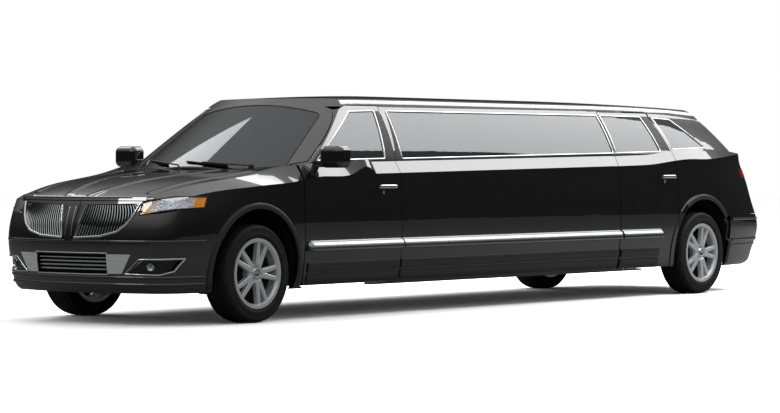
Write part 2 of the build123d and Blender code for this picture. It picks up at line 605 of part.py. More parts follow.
# ---------------------------------------------------------------- nose
front_zone = block(FRONT_DOOR_NOSE - 20, front(1500), -1300, 1300, 200, 1400)
hood_zone = top_prism(HOOD_OUTLINE, HOOD_EDGE_Z, 1400)
hood_hole = top_prism(grown(HOOD_OUTLINE, GAP), HOOD_EDGE_Z - GAP, 1400)
NOSE_START, LAMP_INNER = front(470), 592.0
lamp_hole = side_prism(grown(HEADLAMP_LINE, SEAT_GAP), LAMP_INNER, 1300)
between_lamps = block(NOSE_START, front(1500), -LAMP_INNER, LAMP_INNER, 200, HOOD_EDGE_Z - GAP)
bumper_zone = side_cut(FRONT_BUMPER_LINE) + between_lamps

fender_inner = block(FRONT_DOOR_NOSE - 100, NOSE_START, -10, 730, 200, 1500)
fender = (skin_left & front_zone) - front_door_hole - front_arch - hood_hole - side_cut(FRONT_BUMPER_LINE, SEAT_GAP)
fender = fender - lamp_hole - between_lamps - clear_house - swing_room(FRONT_DOOR_NOSE)
fender -= block(FRONT_DOOR_NOSE - 100, front(-262), -10, 1300, 1240, 1500)
fender -= fender_inner & block(-5000, 5000, -10, 1300, 200, 1000)
cowl_cut = block(front(-900), front(-200), -10, 722 + GAP, 900, 1400)
fender -= cowl_cut
fender = largest(fender)
write("front_fenders", both_sides(fender))

cowl = (lower_body & block(front(-560), front(-262) - GAP, -722, 722, 1040, 1300)) - body_top(SKIN)
cowl -= grown_house
cowl = largest(cowl)
HOOD_AXIS_X, HOOD_AXIS_Z, HOOD_ARM_Y, HOOD_ARM_THICK, HOOD_PIN = front(-420), 1085.0, 690.0, 12.0, 6.0
HOOD_EYE, HOOD_SLOT = 13.0, 24.0
for side in (-1, 1):
    cowl -= block(HOOD_AXIS_X - 20, front(-200), side * HOOD_ARM_Y - HOOD_SLOT / 2, side * HOOD_ARM_Y + HOOD_SLOT / 2,
                  1000, 1300)
    for y in (HOOD_ARM_Y - HOOD_SLOT / 2 - 8, HOOD_ARM_Y + HOOD_SLOT / 2):
        cowl += block(HOOD_AXIS_X - 12, HOOD_AXIS_X + 12, side * y, side * (y + 8), HOOD_AXIS_Z - 12, 1122)
    cowl += cross_bar(HOOD_AXIS_X, HOOD_AXIS_Z, HOOD_PIN, side * (HOOD_ARM_Y - HOOD_SLOT / 2 - 8),
                      side * (HOOD_ARM_Y + HOOD_SLOT / 2 + 8))
write("cowl", largest(cowl - grown_house))

hood = (lower_body & hood_zone) - body_top(SKIN)
hood -= side_prism([(front(-300), 1000), (front(-262) + 32, 1000), (front(-262), 1130), (front(-300), 1130)], -900, 900)
for side in (-1, 1):
    arm = side_prism([(HOOD_AXIS_X, HOOD_AXIS_Z - HOOD_EYE), (front(-150), 1046), (front(-150), 1084),
                      (HOOD_AXIS_X, HOOD_AXIS_Z + HOOD_EYE)], side * HOOD_ARM_Y - HOOD_ARM_THICK / 2,
                     side * HOOD_ARM_Y + HOOD_ARM_THICK / 2)
    arm += cross_bar(HOOD_AXIS_X, HOOD_AXIS_Z, HOOD_EYE, side * HOOD_ARM_Y - HOOD_ARM_THICK / 2,
                     side * HOOD_ARM_Y + HOOD_ARM_THICK / 2)
    arm -= cross_bar(HOOD_AXIS_X, HOOD_AXIS_Z, HOOD_PIN + SEAT_GAP, side * HOOD_ARM_Y - 50, side * HOOD_ARM_Y + 50)
    hood += arm
hood = largest(hood)
write("hood", hood)

GRILLE_HALF, BEAK_HALF, BEAK_PROUD = 578.0, 62.0, 5.0
GRILLE_WING = [(BEAK_HALF, 642), (300, 655), (440, 688), (508, 738), (548, 800), (GRILLE_HALF, 888), (BEAK_HALF, 874)]
BEAK = [(-34, 615), (34, 615), (BEAK_HALF - 4, HOOD_EDGE_Z - GAP), (4 - BEAK_HALF, HOOD_EDGE_Z - GAP)]
LOWER_GRILLE = [(-345, 378), (345, 378), (355, 520), (-355, 520)]
FOG_OPENING = [(500, 385), (745, 378), (812, 402), (850, 482), (620, 478)]

nose_body = lower_body & block(0, front(1500), -1300, 1300, 0, 1300)
bumper = (nose_body - skin_core) & bumper_zone
bumper = bumper - hood_hole - lamp_hole - other_side(lamp_hole)
bumper = bumper - front_arch - other_side(front_arch)
wing_hole = front_prism(GRILLE_WING, front(600), front(1300))
fog_hole = front_prism(FOG_OPENING, front(600), front(1300))
intake = front_prism(LOWER_GRILLE, front(600), front(1300))
for hole in (wing_hole, other_side(wing_hole), fog_hole, other_side(fog_hole), intake):
    bumper -= hole
bumper -= block(0, NOSE_START, -700, 700, 200, 1300)
bumper += (body_sides(-BEAK_PROUD) & front_prism(BEAK, front(800), front(1300))) - skin_core
bumper = largest(bumper)
write("front_bumper", bumper)

lamp = (skin_left & side_prism(HEADLAMP_LINE, LAMP_INNER + SEAT_GAP, 1300)) - hood_hole
lamp = largest(lamp)
write("headlamps", both_sides(lamp))

# Grille: thin upright bars in two wings, on a backing plate behind the bumper's openings.
BAR_PITCH, BAR_WIDTH, BAR_DEPTH = 22.0, 9.0, 26.0


NOSE_BOW = 2230.0                # radius of the nose across the car
WING_SLOPE = 0.277               # the wings lean back this much for each unit of height
WING_FOOT_Z, WING_FACE = 620.0, FRONT_OVERHANG - 4
BACKING = 6.0


def nose_back(y):
    """How far the nose has curved back at this distance from the centre line."""
    return NOSE_BOW - sqrt(NOSE_BOW ** 2 - y ** 2)


def grille_wing():
    """One wing: upright bars standing on a backing, as one comb drawn from above and drawn up the slope."""
    first = BEAK_HALF + 12
    count = int((GRILLE_HALF - first) / BAR_PITCH)
    back = front(WING_FACE) - BAR_DEPTH
    comb = [(back - nose_back(GRILLE_HALF), GRILLE_HALF), (back - BACKING - nose_back(GRILLE_HALF), GRILLE_HALF),
            (back - BACKING - nose_back(BEAK_HALF), BEAK_HALF), (back - nose_back(BEAK_HALF), BEAK_HALF)]
    for i in range(count):
        y = first + i * BAR_PITCH
        face = front(WING_FACE) - nose_back(y)
        root = back - nose_back(y)
        comb += [(root, y), (face, y), (face, y + BAR_WIDTH), (root, y + BAR_WIDTH)]
    outline = make_face(Polyline(*[(x, y, WING_FOOT_Z) for x, y in comb], close=True))
    drawn = extrude(outline, amount=300, dir=(-WING_SLOPE, 0, 1))
    return drawn & front_prism(grown(GRILLE_WING, -SEAT_GAP), front(600), front(1300))


write("grille", both_sides(grille_wing()))

LOUVRE_COUNT, LOUVRE_HEIGHT, LOUVRE_DEPTH = 4, 12.0, 26.0
INTAKE_FACE = 985.0


def nose_band(outer, inner, z0, z1):
    """A bowed strip across the nose, between two distances ahead of the front axle on the centre line."""
    shell = Cylinder(NOSE_BOW, z1 - z0) - Cylinder(NOSE_BOW - (outer - inner), z1 - z0 + 2)
    return Pos(front(outer) - NOSE_BOW, 0, (z0 + z1) / 2) * shell & block(front(600), front(1300), -700, 700, z0, z1)


intake_low, intake_high = LOWER_GRILLE[0][1], LOWER_GRILLE[2][1]
louvre_pitch = (intake_high - intake_low) / (LOUVRE_COUNT + 1)
lower_grille = nose_band(INTAKE_FACE - LOUVRE_DEPTH + BACKING, INTAKE_FACE - LOUVRE_DEPTH, intake_low, intake_high)
for i in range(LOUVRE_COUNT):
    middle = intake_low + louvre_pitch * (i + 1)
    lower_grille += nose_band(INTAKE_FACE, INTAKE_FACE - LOUVRE_DEPTH, middle - LOUVRE_HEIGHT / 2,
                              middle + LOUVRE_HEIGHT / 2)
write("lower_grille", lower_grille & front_prism(grown(LOWER_GRILLE, -SEAT_GAP), front(600), front(1300)))

nose_box = block(front(560), front(1300), -900, 900, 300, 620)
fog_face = front_prism(grown(FOG_OPENING, -SEAT_GAP), front(560), front(1300))
write("fog_lamps", both_sides((body_sides(16) & nose_box) - body_sides(34) & fog_face))

# Rear bumper
rear_bumper = (lower_body & side_cut(REAR_BUMPER_LINE)) - skin_core
rear_bumper = rear_bumper - rear_arch - other_side(rear_arch)
rear_bumper -= block(rear(-440), rear(500), -1300, 1300, 0, 380)
rear_bumper -= block(rear(-470), 3000, -1300, 1300, 0, 1300)
rear_bumper = largest(rear_bumper)
write("rear_bumper", rear_bumper)

# ---------------------------------------------------------------- under the body
FLOOR_HALF = 790.0
HOUSING_INNER_Y, HOUSING_THICK = 490.0, 6.0
AXLE_TUBE = 55.0
floor = block(rear(-450), front(-420), -FLOOR_HALF, FLOOR_HALF, FLOOR_Z - FLOOR_THICK, FLOOR_Z)
floor += block(rear(-960), rear(-440), -600, 600, FLOOR_Z - FLOOR_THICK, FLOOR_Z)
for side in (-1, 1):
    floor += block(rear(560), front(-560), side * (FLOOR_HALF - 90), side * FLOOR_HALF, SILL_Z + 8, FLOOR_Z)
    floor += block(front(-560), front(760), side * 380 - 40, side * 380 + 40, FLOOR_Z - 10, FLOOR_Z + 90)
housing_clear = ARCH_RADIUS + HOUSING_THICK + 1.0
floor -= arch_cut(REAR_AXLE, 440, 1300, housing_clear - ARCH_RADIUS)
floor -= other_side(arch_cut(REAR_AXLE, 440, 1300, housing_clear - ARCH_RADIUS))
floor -= arch_cut(FRONT_AXLE, 440, 1300, housing_clear - ARCH_RADIUS)
floor -= other_side(arch_cut(FRONT_AXLE, 440, 1300, housing_clear - ARCH_RADIUS))
for axis_x in (FRONT_HINGE_X, REAR_HINGE_X):
    post = hinge_post(axis_x)
    floor = floor + post + other_side(post)
write("floor_pan", largest(floor))

housings = []
for axle_x in (FRONT_AXLE, REAR_AXLE):
    liner = arch_cut(axle_x, HOUSING_INNER_Y - HOUSING_THICK, 1300, HOUSING_THICK)
    liner -= arch_cut(axle_x, HOUSING_INNER_Y, 1400, 0.5)
    liner &= body_sides(SKIN + SEAT_GAP)
    if axle_x == REAR_AXLE:      # the rear door's inner face swings past the liner's front end
        liner -= block(axle_x + 380, axle_x + 700, 0, 1300, 0, 1300) - body_sides(DOOR_WALL + 8)
    liner -= block(axle_x - 600, axle_x + 600, 0, 1300, 0, FLOOR_Z - FLOOR_THICK)
    liner -= cross_bar(axle_x, AXLE_Z, AXLE_TUBE + 12, 0, 700)
    housings += solids_of(liner)
write("wheel_housings", both_sides(Compound(children=housings)))

engine = block(front(-300), front(420), -320, 320, 440, 900)
engine += block(front(-60), front(60), -415, 415, FLOOR_Z + 90 + SEAT_GAP, 470)
write("engine_block", engine)

# ---------------------------------------------------------------- wheels
RIM_WIDTH, RIM_FACE_Y = 230.0, 915.0
WHEEL_Y = TRACK / 2
SPOKES = 10
HUB_RADIUS, HUB_BORE, SPINDLE_RADIUS = 78.0, 32.0, 31.7
DISC_RADIUS, DISC_THICK, DISC_Y = 172.0, 28.0, 748.0
TYRE_INNER = RIM_DIAMETER / 2 - 12


def lathe(profile):
    """A ring or disc turned about the car's Y axis from a half section of (distance out, radius)."""
    face = make_face(Polyline(*[(0, y, r) for y, r in profile], close=True))
    return revolve(face, axis=Axis.Y)


def wheel_rim():
    """A dished rim with ten spokes, its hub and its brake disc, at the origin facing +Y."""
    out, inn = RIM_WIDTH / 2, -RIM_WIDTH / 2
    barrel = lathe([(inn, 232), (inn, RIM_DIAMETER / 2), (inn + 10, RIM_DIAMETER / 2), (inn + 16, TYRE_INNER - 4),
                    (out - 16, TYRE_INNER - 4), (out - 10, RIM_DIAMETER / 2), (out, RIM_DIAMETER / 2), (out, 236),
                    (out - 20, 226), (inn + 20, 226)])
    hub = lathe([(DISC_Y - WHEEL_Y - 14, HUB_BORE), (DISC_Y - WHEEL_Y - 14, 70), (out - 45, HUB_RADIUS),
                 (out - 22, HUB_RADIUS - 6), (out - 22, HUB_BORE)])
    cap = lathe([(out - 40, 0), (out - 40, 40), (out - 14, 38), (out - 10, 0)])
    disc = lathe([(DISC_Y - WHEEL_Y - DISC_THICK / 2, 60), (DISC_Y - WHEEL_Y - DISC_THICK / 2, DISC_RADIUS),
                  (DISC_Y - WHEEL_Y + DISC_THICK / 2, DISC_RADIUS), (DISC_Y - WHEEL_Y + DISC_THICK / 2, 60)])
    rim = barrel + hub + disc + cap
    for i in range(SPOKES):
        turn = Rot(0, 36 * i + (7 if i % 2 else -7), 0)
        spoke = side_prism([(-22, 60), (22, 60), (15, 232), (-15, 232)], out - 46, out - 12)
        rim += turn * spoke
    return rim


def tyre():
    half, top = TYRE_WIDTH / 2, TYRE_DIAMETER / 2
    bead, seat = RIM_WIDTH / 2 - 16 - SEAT_GAP, TYRE_INNER - 4 + SEAT_GAP
    lip = RIM_DIAMETER / 2 + SEAT_GAP
    right = [(bead, seat), (bead, lip), (half - 6, lip + 4), (half, lip + 36), (half - 4, top - 50),
             (half - 22, top - 12), (half - 45, top)]
    return lathe([(-y, r) for y, r in right] + right[::-1])


rim_shape, tyre_shape = wheel_rim(), tyre()
for end, axle_x in (("front", FRONT_AXLE), ("rear", REAR_AXLE)):
    for side, place in (("left", lambda s: s), ("right", other_side)):
        at = Pos(axle_x, WHEEL_Y, AXLE_Z)
        write(f"{end}_rim_{side}", place(at * rim_shape))
        write(f"{end}_tyre_{side}", place(at * tyre_shape))

# Knuckle: an upright with its spindle and the brake caliper.
KNUCKLE_Y, KINGPIN_RADIUS = 690.0, 30.0
knuckle = block(FRONT_AXLE - 55, FRONT_AXLE + 55, KNUCKLE_Y - 25, KNUCKLE_Y + 25, AXLE_Z - 130, AXLE_Z + 130)
knuckle += cross_bar(FRONT_AXLE, AXLE_Z, SPINDLE_RADIUS, KNUCKLE_Y, WHEEL_Y + 60)
knuckle += upright_bar(FRONT_AXLE, KNUCKLE_Y, KINGPIN_RADIUS, AXLE_Z - 130, AXLE_Z + 130)
knuckle += block(FRONT_AXLE - 240, FRONT_AXLE - 50, KNUCKLE_Y - 20, KNUCKLE_Y + 20, AXLE_Z - 50, AXLE_Z + 50)
knuckle += block(FRONT_AXLE - 208, FRONT_AXLE - 180, KNUCKLE_Y - 20, DISC_Y + 30, AXLE_Z - 60, AXLE_Z + 60)
write("knuckle_left", knuckle)
write("knuckle_right", other_side(knuckle))

# Front axle: a subframe beam with forks that hold the kingpins; rear axle: a beam with spindles.
front_axle = block(FRONT_AXLE - 60, FRONT_AXLE + 60, -420, 420, 215, FLOOR_Z - 10 - SEAT_GAP)
for side in (-1, 1):
    front_axle += block(FRONT_AXLE - 50, FRONT_AXLE + 50, side * 400, side * (KNUCKLE_Y + 20), AXLE_Z - 165,
                        AXLE_Z - 130 - SEAT_GAP)
write("front_axle", front_axle)
rear_axle = cross_bar(REAR_AXLE, AXLE_Z, AXLE_TUBE, -KNUCKLE_Y, KNUCKLE_Y)
rear_axle += cross_bar(REAR_AXLE, AXLE_Z, SPINDLE_RADIUS, -WHEEL_Y - 60, WHEEL_Y + 60)
for side in (-1, 1):
    rear_axle += block(REAR_AXLE - 45, REAR_AXLE + 45, side * 380, side * 440, FLOOR_Z + SEAT_GAP, AXLE_Z)
write("rear_axle", rear_axle)

# ---------------------------------------------------------------- inside
SEAT_HEIGHT, SEAT_DEPTH, BACK_HEIGHT, BACK_THICK = 390.0, 520.0, 620.0, 130.0


def seat(x, y, width):
    """A cushion on a plinth with a leaning back, its front edge at x."""
    base = block(x - SEAT_DEPTH + 60, x - 60, y - width / 2 + 40, y + width / 2 - 40, FLOOR_Z + SEAT_GAP,
                 FLOOR_Z + SEAT_HEIGHT - 140)
    cushion = block(x - SEAT_DEPTH, x, y - width / 2, y + width / 2, FLOOR_Z + SEAT_HEIGHT - 140,
                    FLOOR_Z + SEAT_HEIGHT)
    back = side_prism([(x - SEAT_DEPTH + 40, FLOOR_Z + SEAT_HEIGHT - 140),
                       (x - SEAT_DEPTH + 40 - 190, FLOOR_Z + SEAT_HEIGHT + BACK_HEIGHT),
                       (x - SEAT_DEPTH - 90 - 190, FLOOR_Z + SEAT_HEIGHT + BACK_HEIGHT),
                       (x - SEAT_DEPTH - 90, FLOOR_Z + SEAT_HEIGHT - 140)][::-1], y - width / 2, y + width / 2)
    return base + cushion + back


write("front_seats", seat(front(-880), 380, 520), seat(front(-880), -380, 520))
PARTITION_X = front(-1790)
write("partition", block(PARTITION_X - 40, PARTITION_X, -790, 790, FLOOR_Z + SEAT_GAP, 1180)
      - other_side(side_panel) - side_panel)
bench = block(rear(1500), front(-2000), -780, -780 + 520, FLOOR_Z + SEAT_GAP, FLOOR_Z + 380)
bench += block(rear(1500), front(-2000), -780, -780 + 110, FLOOR_Z + 380, 1150)
write("lounge_bench", bench)
write("rear_bench", seat(rear(1180), 0, 1240))

dash = side_prism([(front(-600), 700), (front(-860), 760), (front(-900), 900), (front(-800), 1080),
                   (front(-460), 1090), (front(-430), 700)][::-1], -POST_INNER_Y + SEAT_GAP, POST_INNER_Y - SEAT_GAP)
WHEEL_CENTRE, STEERING_RADIUS = (front(-1010), 380.0, 960.0), 185.0
steering = Torus(STEERING_RADIUS, 15) + Cylinder(45, 30) + Box(2 * STEERING_RADIUS - 10, 40, 16)
steering_place = Pos(*WHEEL_CENTRE) * Rot(0, -65, 0)
write("steering_wheel", steering_place * steering)
column = steering_place * Pos(0, 0, -15 - SEAT_GAP - 110) * Cylinder(30, 220)
write("dashboard", dash + column)
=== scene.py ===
"""Stretch limousine: the looks that are laid over its construction model.

Metres, in the model's frame: +X forward, +Y to the car's left, +Z up, the origin on the ground at mid length.
"""
import json
import math

import bmesh
import bpy
from mathutils import Matrix, Vector
from mathutils.bvhtree import BVHTree


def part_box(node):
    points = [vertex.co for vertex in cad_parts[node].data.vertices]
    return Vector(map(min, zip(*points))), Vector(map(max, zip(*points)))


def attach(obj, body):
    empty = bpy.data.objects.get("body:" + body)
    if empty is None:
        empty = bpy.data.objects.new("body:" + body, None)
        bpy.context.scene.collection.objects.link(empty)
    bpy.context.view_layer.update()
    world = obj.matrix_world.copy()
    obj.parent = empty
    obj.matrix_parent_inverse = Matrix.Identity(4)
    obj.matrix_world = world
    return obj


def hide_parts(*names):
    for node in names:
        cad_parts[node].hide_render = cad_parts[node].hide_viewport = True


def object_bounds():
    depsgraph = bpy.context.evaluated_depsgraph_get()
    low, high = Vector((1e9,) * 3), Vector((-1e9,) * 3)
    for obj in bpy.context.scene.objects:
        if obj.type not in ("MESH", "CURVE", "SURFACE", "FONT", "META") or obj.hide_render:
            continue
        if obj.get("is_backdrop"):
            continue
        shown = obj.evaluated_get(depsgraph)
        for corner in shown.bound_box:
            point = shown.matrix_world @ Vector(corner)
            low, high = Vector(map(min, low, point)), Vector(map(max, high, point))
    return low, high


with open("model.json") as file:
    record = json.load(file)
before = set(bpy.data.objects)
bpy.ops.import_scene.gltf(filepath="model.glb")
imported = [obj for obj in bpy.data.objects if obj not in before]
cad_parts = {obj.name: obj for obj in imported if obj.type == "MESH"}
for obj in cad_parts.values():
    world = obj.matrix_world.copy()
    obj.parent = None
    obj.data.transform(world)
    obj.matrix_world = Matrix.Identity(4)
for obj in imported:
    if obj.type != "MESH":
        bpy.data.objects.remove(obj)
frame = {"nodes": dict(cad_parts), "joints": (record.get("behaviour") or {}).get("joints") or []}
cad_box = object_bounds()
NODES = frame["nodes"]
JOINT_PLACE = {joint["name"]: joint.get("pos_m") for joint in frame["joints"]}

# ---------------------------------------------------------------- places taken from the frame
FRONT_AXLE, TRACK_Y, AXLE_Z = JOINT_PLACE["front_wheel_left_spin"]
REAR_AXLE = JOINT_PLACE["rear_wheel_left_spin"][0]
SIDES = (("left", 1), ("right", -1))
FORWARD, UP = Vector((1, 0, 0)), Vector((0, 0, 1))


def front(distance):
    """X of a station this far ahead of the front axle."""
    return FRONT_AXLE + distance


def rear(distance):
    """X of a station this far ahead of the rear axle."""
    return REAR_AXLE + distance


# ---------------------------------------------------------------- materials
def shader(material):
    return material.node_tree.nodes["Principled BSDF"]


def add_node(tree, kind, **values):
    """A shader node with constants on its sockets. An underscore in a socket's name stands for a space."""
    node = tree.nodes.new("ShaderNode" + kind)
    for socket, value in values.items():
        node.inputs[socket.replace("_", " ")].default_value = value
    return node


def principled(name, color, roughness, **sockets):
    """A Principled material with its constants on the shader's own sockets."""
    material = bpy.data.materials.new(name)
    material.use_nodes = True
    values = {"Base_Color": (*color, 1), "Roughness": roughness, "Coat_Roughness": 0.03} | sockets
    for socket, value in values.items():
        shader(material).inputs[socket.replace("_", " ")].default_value = value
    return material


def texture(material, kind, output, **values):
    """An output of a texture in object space."""
    tree = material.node_tree
    node = add_node(tree, kind, **values)
    tree.links.new(add_node(tree, "TexCoord").outputs["Object"], node.inputs["Vector"])
    return node.outputs[output]


def noise(material, scale, detail=3.0):
    return texture(material, "TexNoise", "Fac", Scale=scale, Detail=detail)


def mottle(material, scale, detail, *stops):
    """Base colour from noise, over two (position, colour) stops."""
    tree = material.node_tree
    node = add_node(tree, "ValToRGB")
    for element, (position, color) in zip(node.color_ramp.elements, stops):
        element.position, element.color = position, (*color, 1)
    tree.links.new(noise(material, scale, detail), node.inputs["Fac"])
    tree.links.new(node.outputs["Color"], shader(material).inputs["Base Color"])


def vary(material, factor, low, high):
    """Roughness between two values by a factor."""
    tree = material.node_tree
    node = add_node(tree, "MapRange", To_Min=low, To_Max=high)
    tree.links.new(factor, node.inputs["Value"])
    tree.links.new(node.outputs["Result"], shader(material).inputs["Roughness"])


def bump(material, factor, strength, distance):
    """A bump from a factor."""
    tree = material.node_tree
    node = add_node(tree, "Bump", Strength=strength, Distance=distance)
    tree.links.new(factor, node.inputs["Height"])
    tree.links.new(node.outputs["Normal"], shader(material).inputs["Normal"])


def paint():
    """Deep black lacquer: a faint flake in the base under a clear coat."""
    material = principled("body_paint", (0.006, 0.006, 0.007), 0.3, Coat_Weight=1.0, Coat_Roughness=0.01,
                          Coat_IOR=2.1, Specular_IOR_Level=0.2)
    mottle(material, 900, 2, (0.35, (0.004, 0.004, 0.005)), (0.75, (0.010, 0.010, 0.012)))
    vary(material, noise(material, 14, 2), 0.20, 0.28)
    return material


def grained(name, color, roughness, scale, strength, specular=0.4):
    """Moulded or covered material: slight colour and roughness variation and a fine grain."""
    material = principled(name, color, roughness, Specular_IOR_Level=specular)
    darker = tuple(channel * 0.82 for channel in color)
    lighter = tuple(min(1, channel * 1.16) for channel in color)
    mottle(material, scale * 0.12, 4, (0.3, darker), (0.7, lighter))
    vary(material, noise(material, scale * 0.3), roughness - 0.06, roughness + 0.08)
    bump(material, noise(material, scale, 2), strength, 0.0006)
    return material


def metal(name, color, roughness, scale=60, spread=0.04, metallic=1.0):
    """Bare, plated or lacquered metal with a faint uneven polish."""
    material = principled(name, color, roughness, Metallic=metallic)
    vary(material, noise(material, scale), max(0.02, roughness - spread), roughness + spread)
    return material


def glass(name, color, roughness=0.02, ior=1.45, metallic=0.0):
    """Tinted glazing with faint waviness. A metallic share stands for a mirror film."""
    material = principled(name, color, roughness, Transmission_Weight=1.0, IOR=ior, Metallic=metallic)
    vary(material, noise(material, 3), roughness, roughness + 0.01)
    return material


def leather():
    """Soft black leather: creased grain over a slow colour change."""
    material = principled("leather", (0.022, 0.021, 0.021), 0.42, Specular_IOR_Level=0.45, Sheen_Weight=0.05)
    cells = texture(material, "TexVoronoi", "Distance", Scale=320)
    cells.node.feature = "DISTANCE_TO_EDGE"
    bump(material, cells, 0.35, 0.0008)
    mottle(material, 9, 4, (0.3, (0.016, 0.015, 0.015)), (0.75, (0.032, 0.030, 0.030)))
    vary(material, noise(material, 40), 0.34, 0.52)
    return material


def rubber():
    material = principled("tyre", (0.014, 0.014, 0.015), 0.62, Specular_IOR_Level=0.35)
    mottle(material, 22, 4, (0.3, (0.010, 0.010, 0.011)), (0.75, (0.022, 0.022, 0.023)))
    bump(material, noise(material, 700, 2), 0.25, 0.0004)
    vary(material, noise(material, 30), 0.52, 0.72)
    return material


def carpet():
    material = principled("carpet", (0.030, 0.029, 0.028), 0.95, Specular_IOR_Level=0.1, Sheen_Weight=0.3)
    mottle(material, 420, 3, (0.3, (0.016, 0.015, 0.015)), (0.7, (0.050, 0.048, 0.046)))
    bump(material, noise(material, 900, 2), 0.8, 0.002)
    vary(material, noise(material, 60), 0.85, 1.0)
    return material


def lamp_facets():
    """Bright plated plastic with the broken-up look of a cut reflector, and a faint painted glow for the light
    it reflects.
    """
    material = metal("lamp_reflector", (0.90, 0.91, 0.93), 0.08, spread=0.03)
    bump(material, texture(material, "TexVoronoi", "Distance", Scale=55), 0.7, 0.010)
    # A faint cool-white emission: painted glow for light the reflector gives back.
    shader(material).inputs["Emission Color"].default_value = (0.9, 0.93, 1, 1)
    shader(material).inputs["Emission Strength"].default_value = 0.12
    return material


def amber():
    material = principled("amber_lens", (0.95, 0.42, 0.03), 0.15, Coat_Weight=1.0,
                          Emission_Color=(1.0, 0.38, 0.02, 1), Emission_Strength=0.35)
    mottle(material, 70, 2, (0.35, (0.80, 0.26, 0.01)), (0.7, (1.0, 0.62, 0.08)))
    bump(material, noise(material, 160, 1), 0.5, 0.002)
    return material


def red_lens():
    """Ribbed red lamp plastic over a bright ground."""
    material = principled("red_lens", (0.40, 0.008, 0.010), 0.12, Coat_Weight=1.0,
                          Emission_Color=(0.9, 0.02, 0.02, 1), Emission_Strength=0.05)
    mottle(material, 55, 2, (0.3, (0.22, 0.003, 0.004)), (0.75, (0.50, 0.015, 0.016)))
    bump(material, noise(material, 220, 1), 0.4, 0.0015)
    return material


FINISH = {
    "body_paint": paint(),
    "bright_trim": metal("bright_trim", (0.86, 0.87, 0.88), 0.07, spread=0.02),
    "alloy": metal("alloy", (0.93, 0.94, 0.95), 0.32, 40, spread=0.05, metallic=0.55),
    # The moulding's grey metal is a painted highlight: light caught on a body-coloured ledge along the side.
    "moulding": metal("moulding", (0.40, 0.41, 0.42), 0.22, 40, spread=0.03),
    "tyre": rubber(),
    "window_glass": glass("window_glass", (0.16, 0.17, 0.18), ior=1.6, metallic=0.3),
    "lamp_glass": glass("lamp_glass", (0.93, 0.95, 0.97)),
    "tail_lamp_glass": glass("tail_lamp_glass", (0.50, 0.012, 0.014), 0.05),
    "liner": grained("liner", (0.012, 0.012, 0.012), 0.85, 240, 0.5, 0.2),
    "cladding": grained("cladding", (0.035, 0.035, 0.037), 0.38, 260, 0.15, 0.6),
    "plate": metal("plate", (0.55, 0.56, 0.57), 0.42, 30, spread=0.06),
    "mirror": metal("mirror", (0.92, 0.93, 0.94), 0.03, spread=0.01),
    "pillar": grained("pillar", (0.020, 0.020, 0.021), 0.45, 200, 0.1, 0.5),
    "cabin_plastic": grained("cabin_plastic", (0.030, 0.030, 0.032), 0.55, 500, 0.3),
    "trim_board": grained("trim_board", (0.045, 0.044, 0.043), 0.60, 300, 0.3),
    "leather": leather(),
    "dark_steel": metal("dark_steel", (0.10, 0.10, 0.105), 0.42, 25, spread=0.1),
    "cast_metal": metal("cast_metal", (0.32, 0.32, 0.33), 0.48, 90, spread=0.1),
}
for node in NODES.values():
    for place, material in enumerate(node.data.materials):
        if material and material.name.split(".")[0] in FINISH:
            node.data.materials[place] = FINISH[material.name.split(".")[0]]
FINISH |= {"lamp_reflector": lamp_facets(), "amber_lens": amber(), "carpet": carpet(), "red_lens": red_lens()}


def finish_node(name, finish):
    materials = NODES[name].data.materials
    for place in range(len(materials)):
        materials[place] = FINISH[finish]


finish_node("steering_wheel", "leather")
finish_node("tail_lamps", "red_lens")


# ---------------------------------------------------------------- making meshes
def put(name, part, finish, body="body", replaces=None, sharp=40):
    """A mesh piece that rides on a body. sharp is the angle in degrees past which its edges stay sharp."""
    mesh = bpy.data.meshes.new(name)
    mesh.from_pydata([tuple(v) for v in part[0]], [], part[1])
    mesh.validate()
    work = bmesh.new()
    work.from_mesh(mesh)
    bmesh.ops.remove_doubles(work, verts=work.verts, dist=1e-6)
    bmesh.ops.recalc_face_normals(work, faces=work.faces)
    work.to_mesh(mesh)
    work.free()
    piece = bpy.data.objects.new(name, mesh)
    bpy.context.scene.collection.objects.link(piece)
    mesh.materials.append(FINISH[finish])
    for polygon in mesh.polygons:
        polygon.use_smooth = True
    mesh.set_sharp_from_angle(angle=math.radians(sharp))
    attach(piece, body)
    if replaces:
        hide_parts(replaces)


def joined(parts):
    """Verts and faces of several (verts, faces) pairs as one."""
    verts, faces = [], []
    for part_verts, part_faces in parts:
        base = len(verts)
        verts += part_verts
        faces += [[index + base for index in face] for face in part_faces]
    return verts, faces


def both(*parts):
    """Parts on the left together with their mirror images on the right."""
    pairs = []
    for verts, faces in parts:
        mirrored = [Vector((v[0], -v[1], v[2])) for v in verts]
        pairs += [(verts, faces), (mirrored, [face[::-1] for face in faces])]
    return joined(pairs)


def skin(rows, size, ring=False):
    """Faces over rows of points that each go right round. The end rows are capped, or joined as a ring."""
    faces = []
    for i in range(rows if ring else rows - 1):
        here, there = i * size, (i + 1) % rows * size
        faces += [[here + j, here + (j + 1) % size, there + (j + 1) % size, there + j] for j in range(size)]
    if not ring:
        faces += [list(range(size - 1, -1, -1)), list(range((rows - 1) * size, rows * size))]
    return faces


def sweep(laid, section, closed=False):
    """A section of (across, out) pairs along a path of (point, outward direction) pairs."""
    count, verts = len(laid), []
    for i, (point, outward) in enumerate(laid):
        before = laid[i - 1][0] if closed or i else point
        after = laid[(i + 1) % count][0] if closed or i + 1 < count else point
        along = (after - before).normalized()
        out = (outward - along * outward.dot(along)).normalized()
        side = along.cross(out)
        verts += [point + side * across + out * up for across, up in section]
    return verts, skin(count, len(section), closed)


def half_round(width, height, steps=6, sink=0.004):
    """A crowned strip's section, its foot sunk a little into what carries it."""
    turns = [math.pi * k / steps for k in range(steps + 1)]
    arc = [(-width / 2 * math.cos(turn), height * math.sin(turn)) for turn in turns]
    return [(-width / 2, -sink)] + arc + [(width / 2, -sink)]


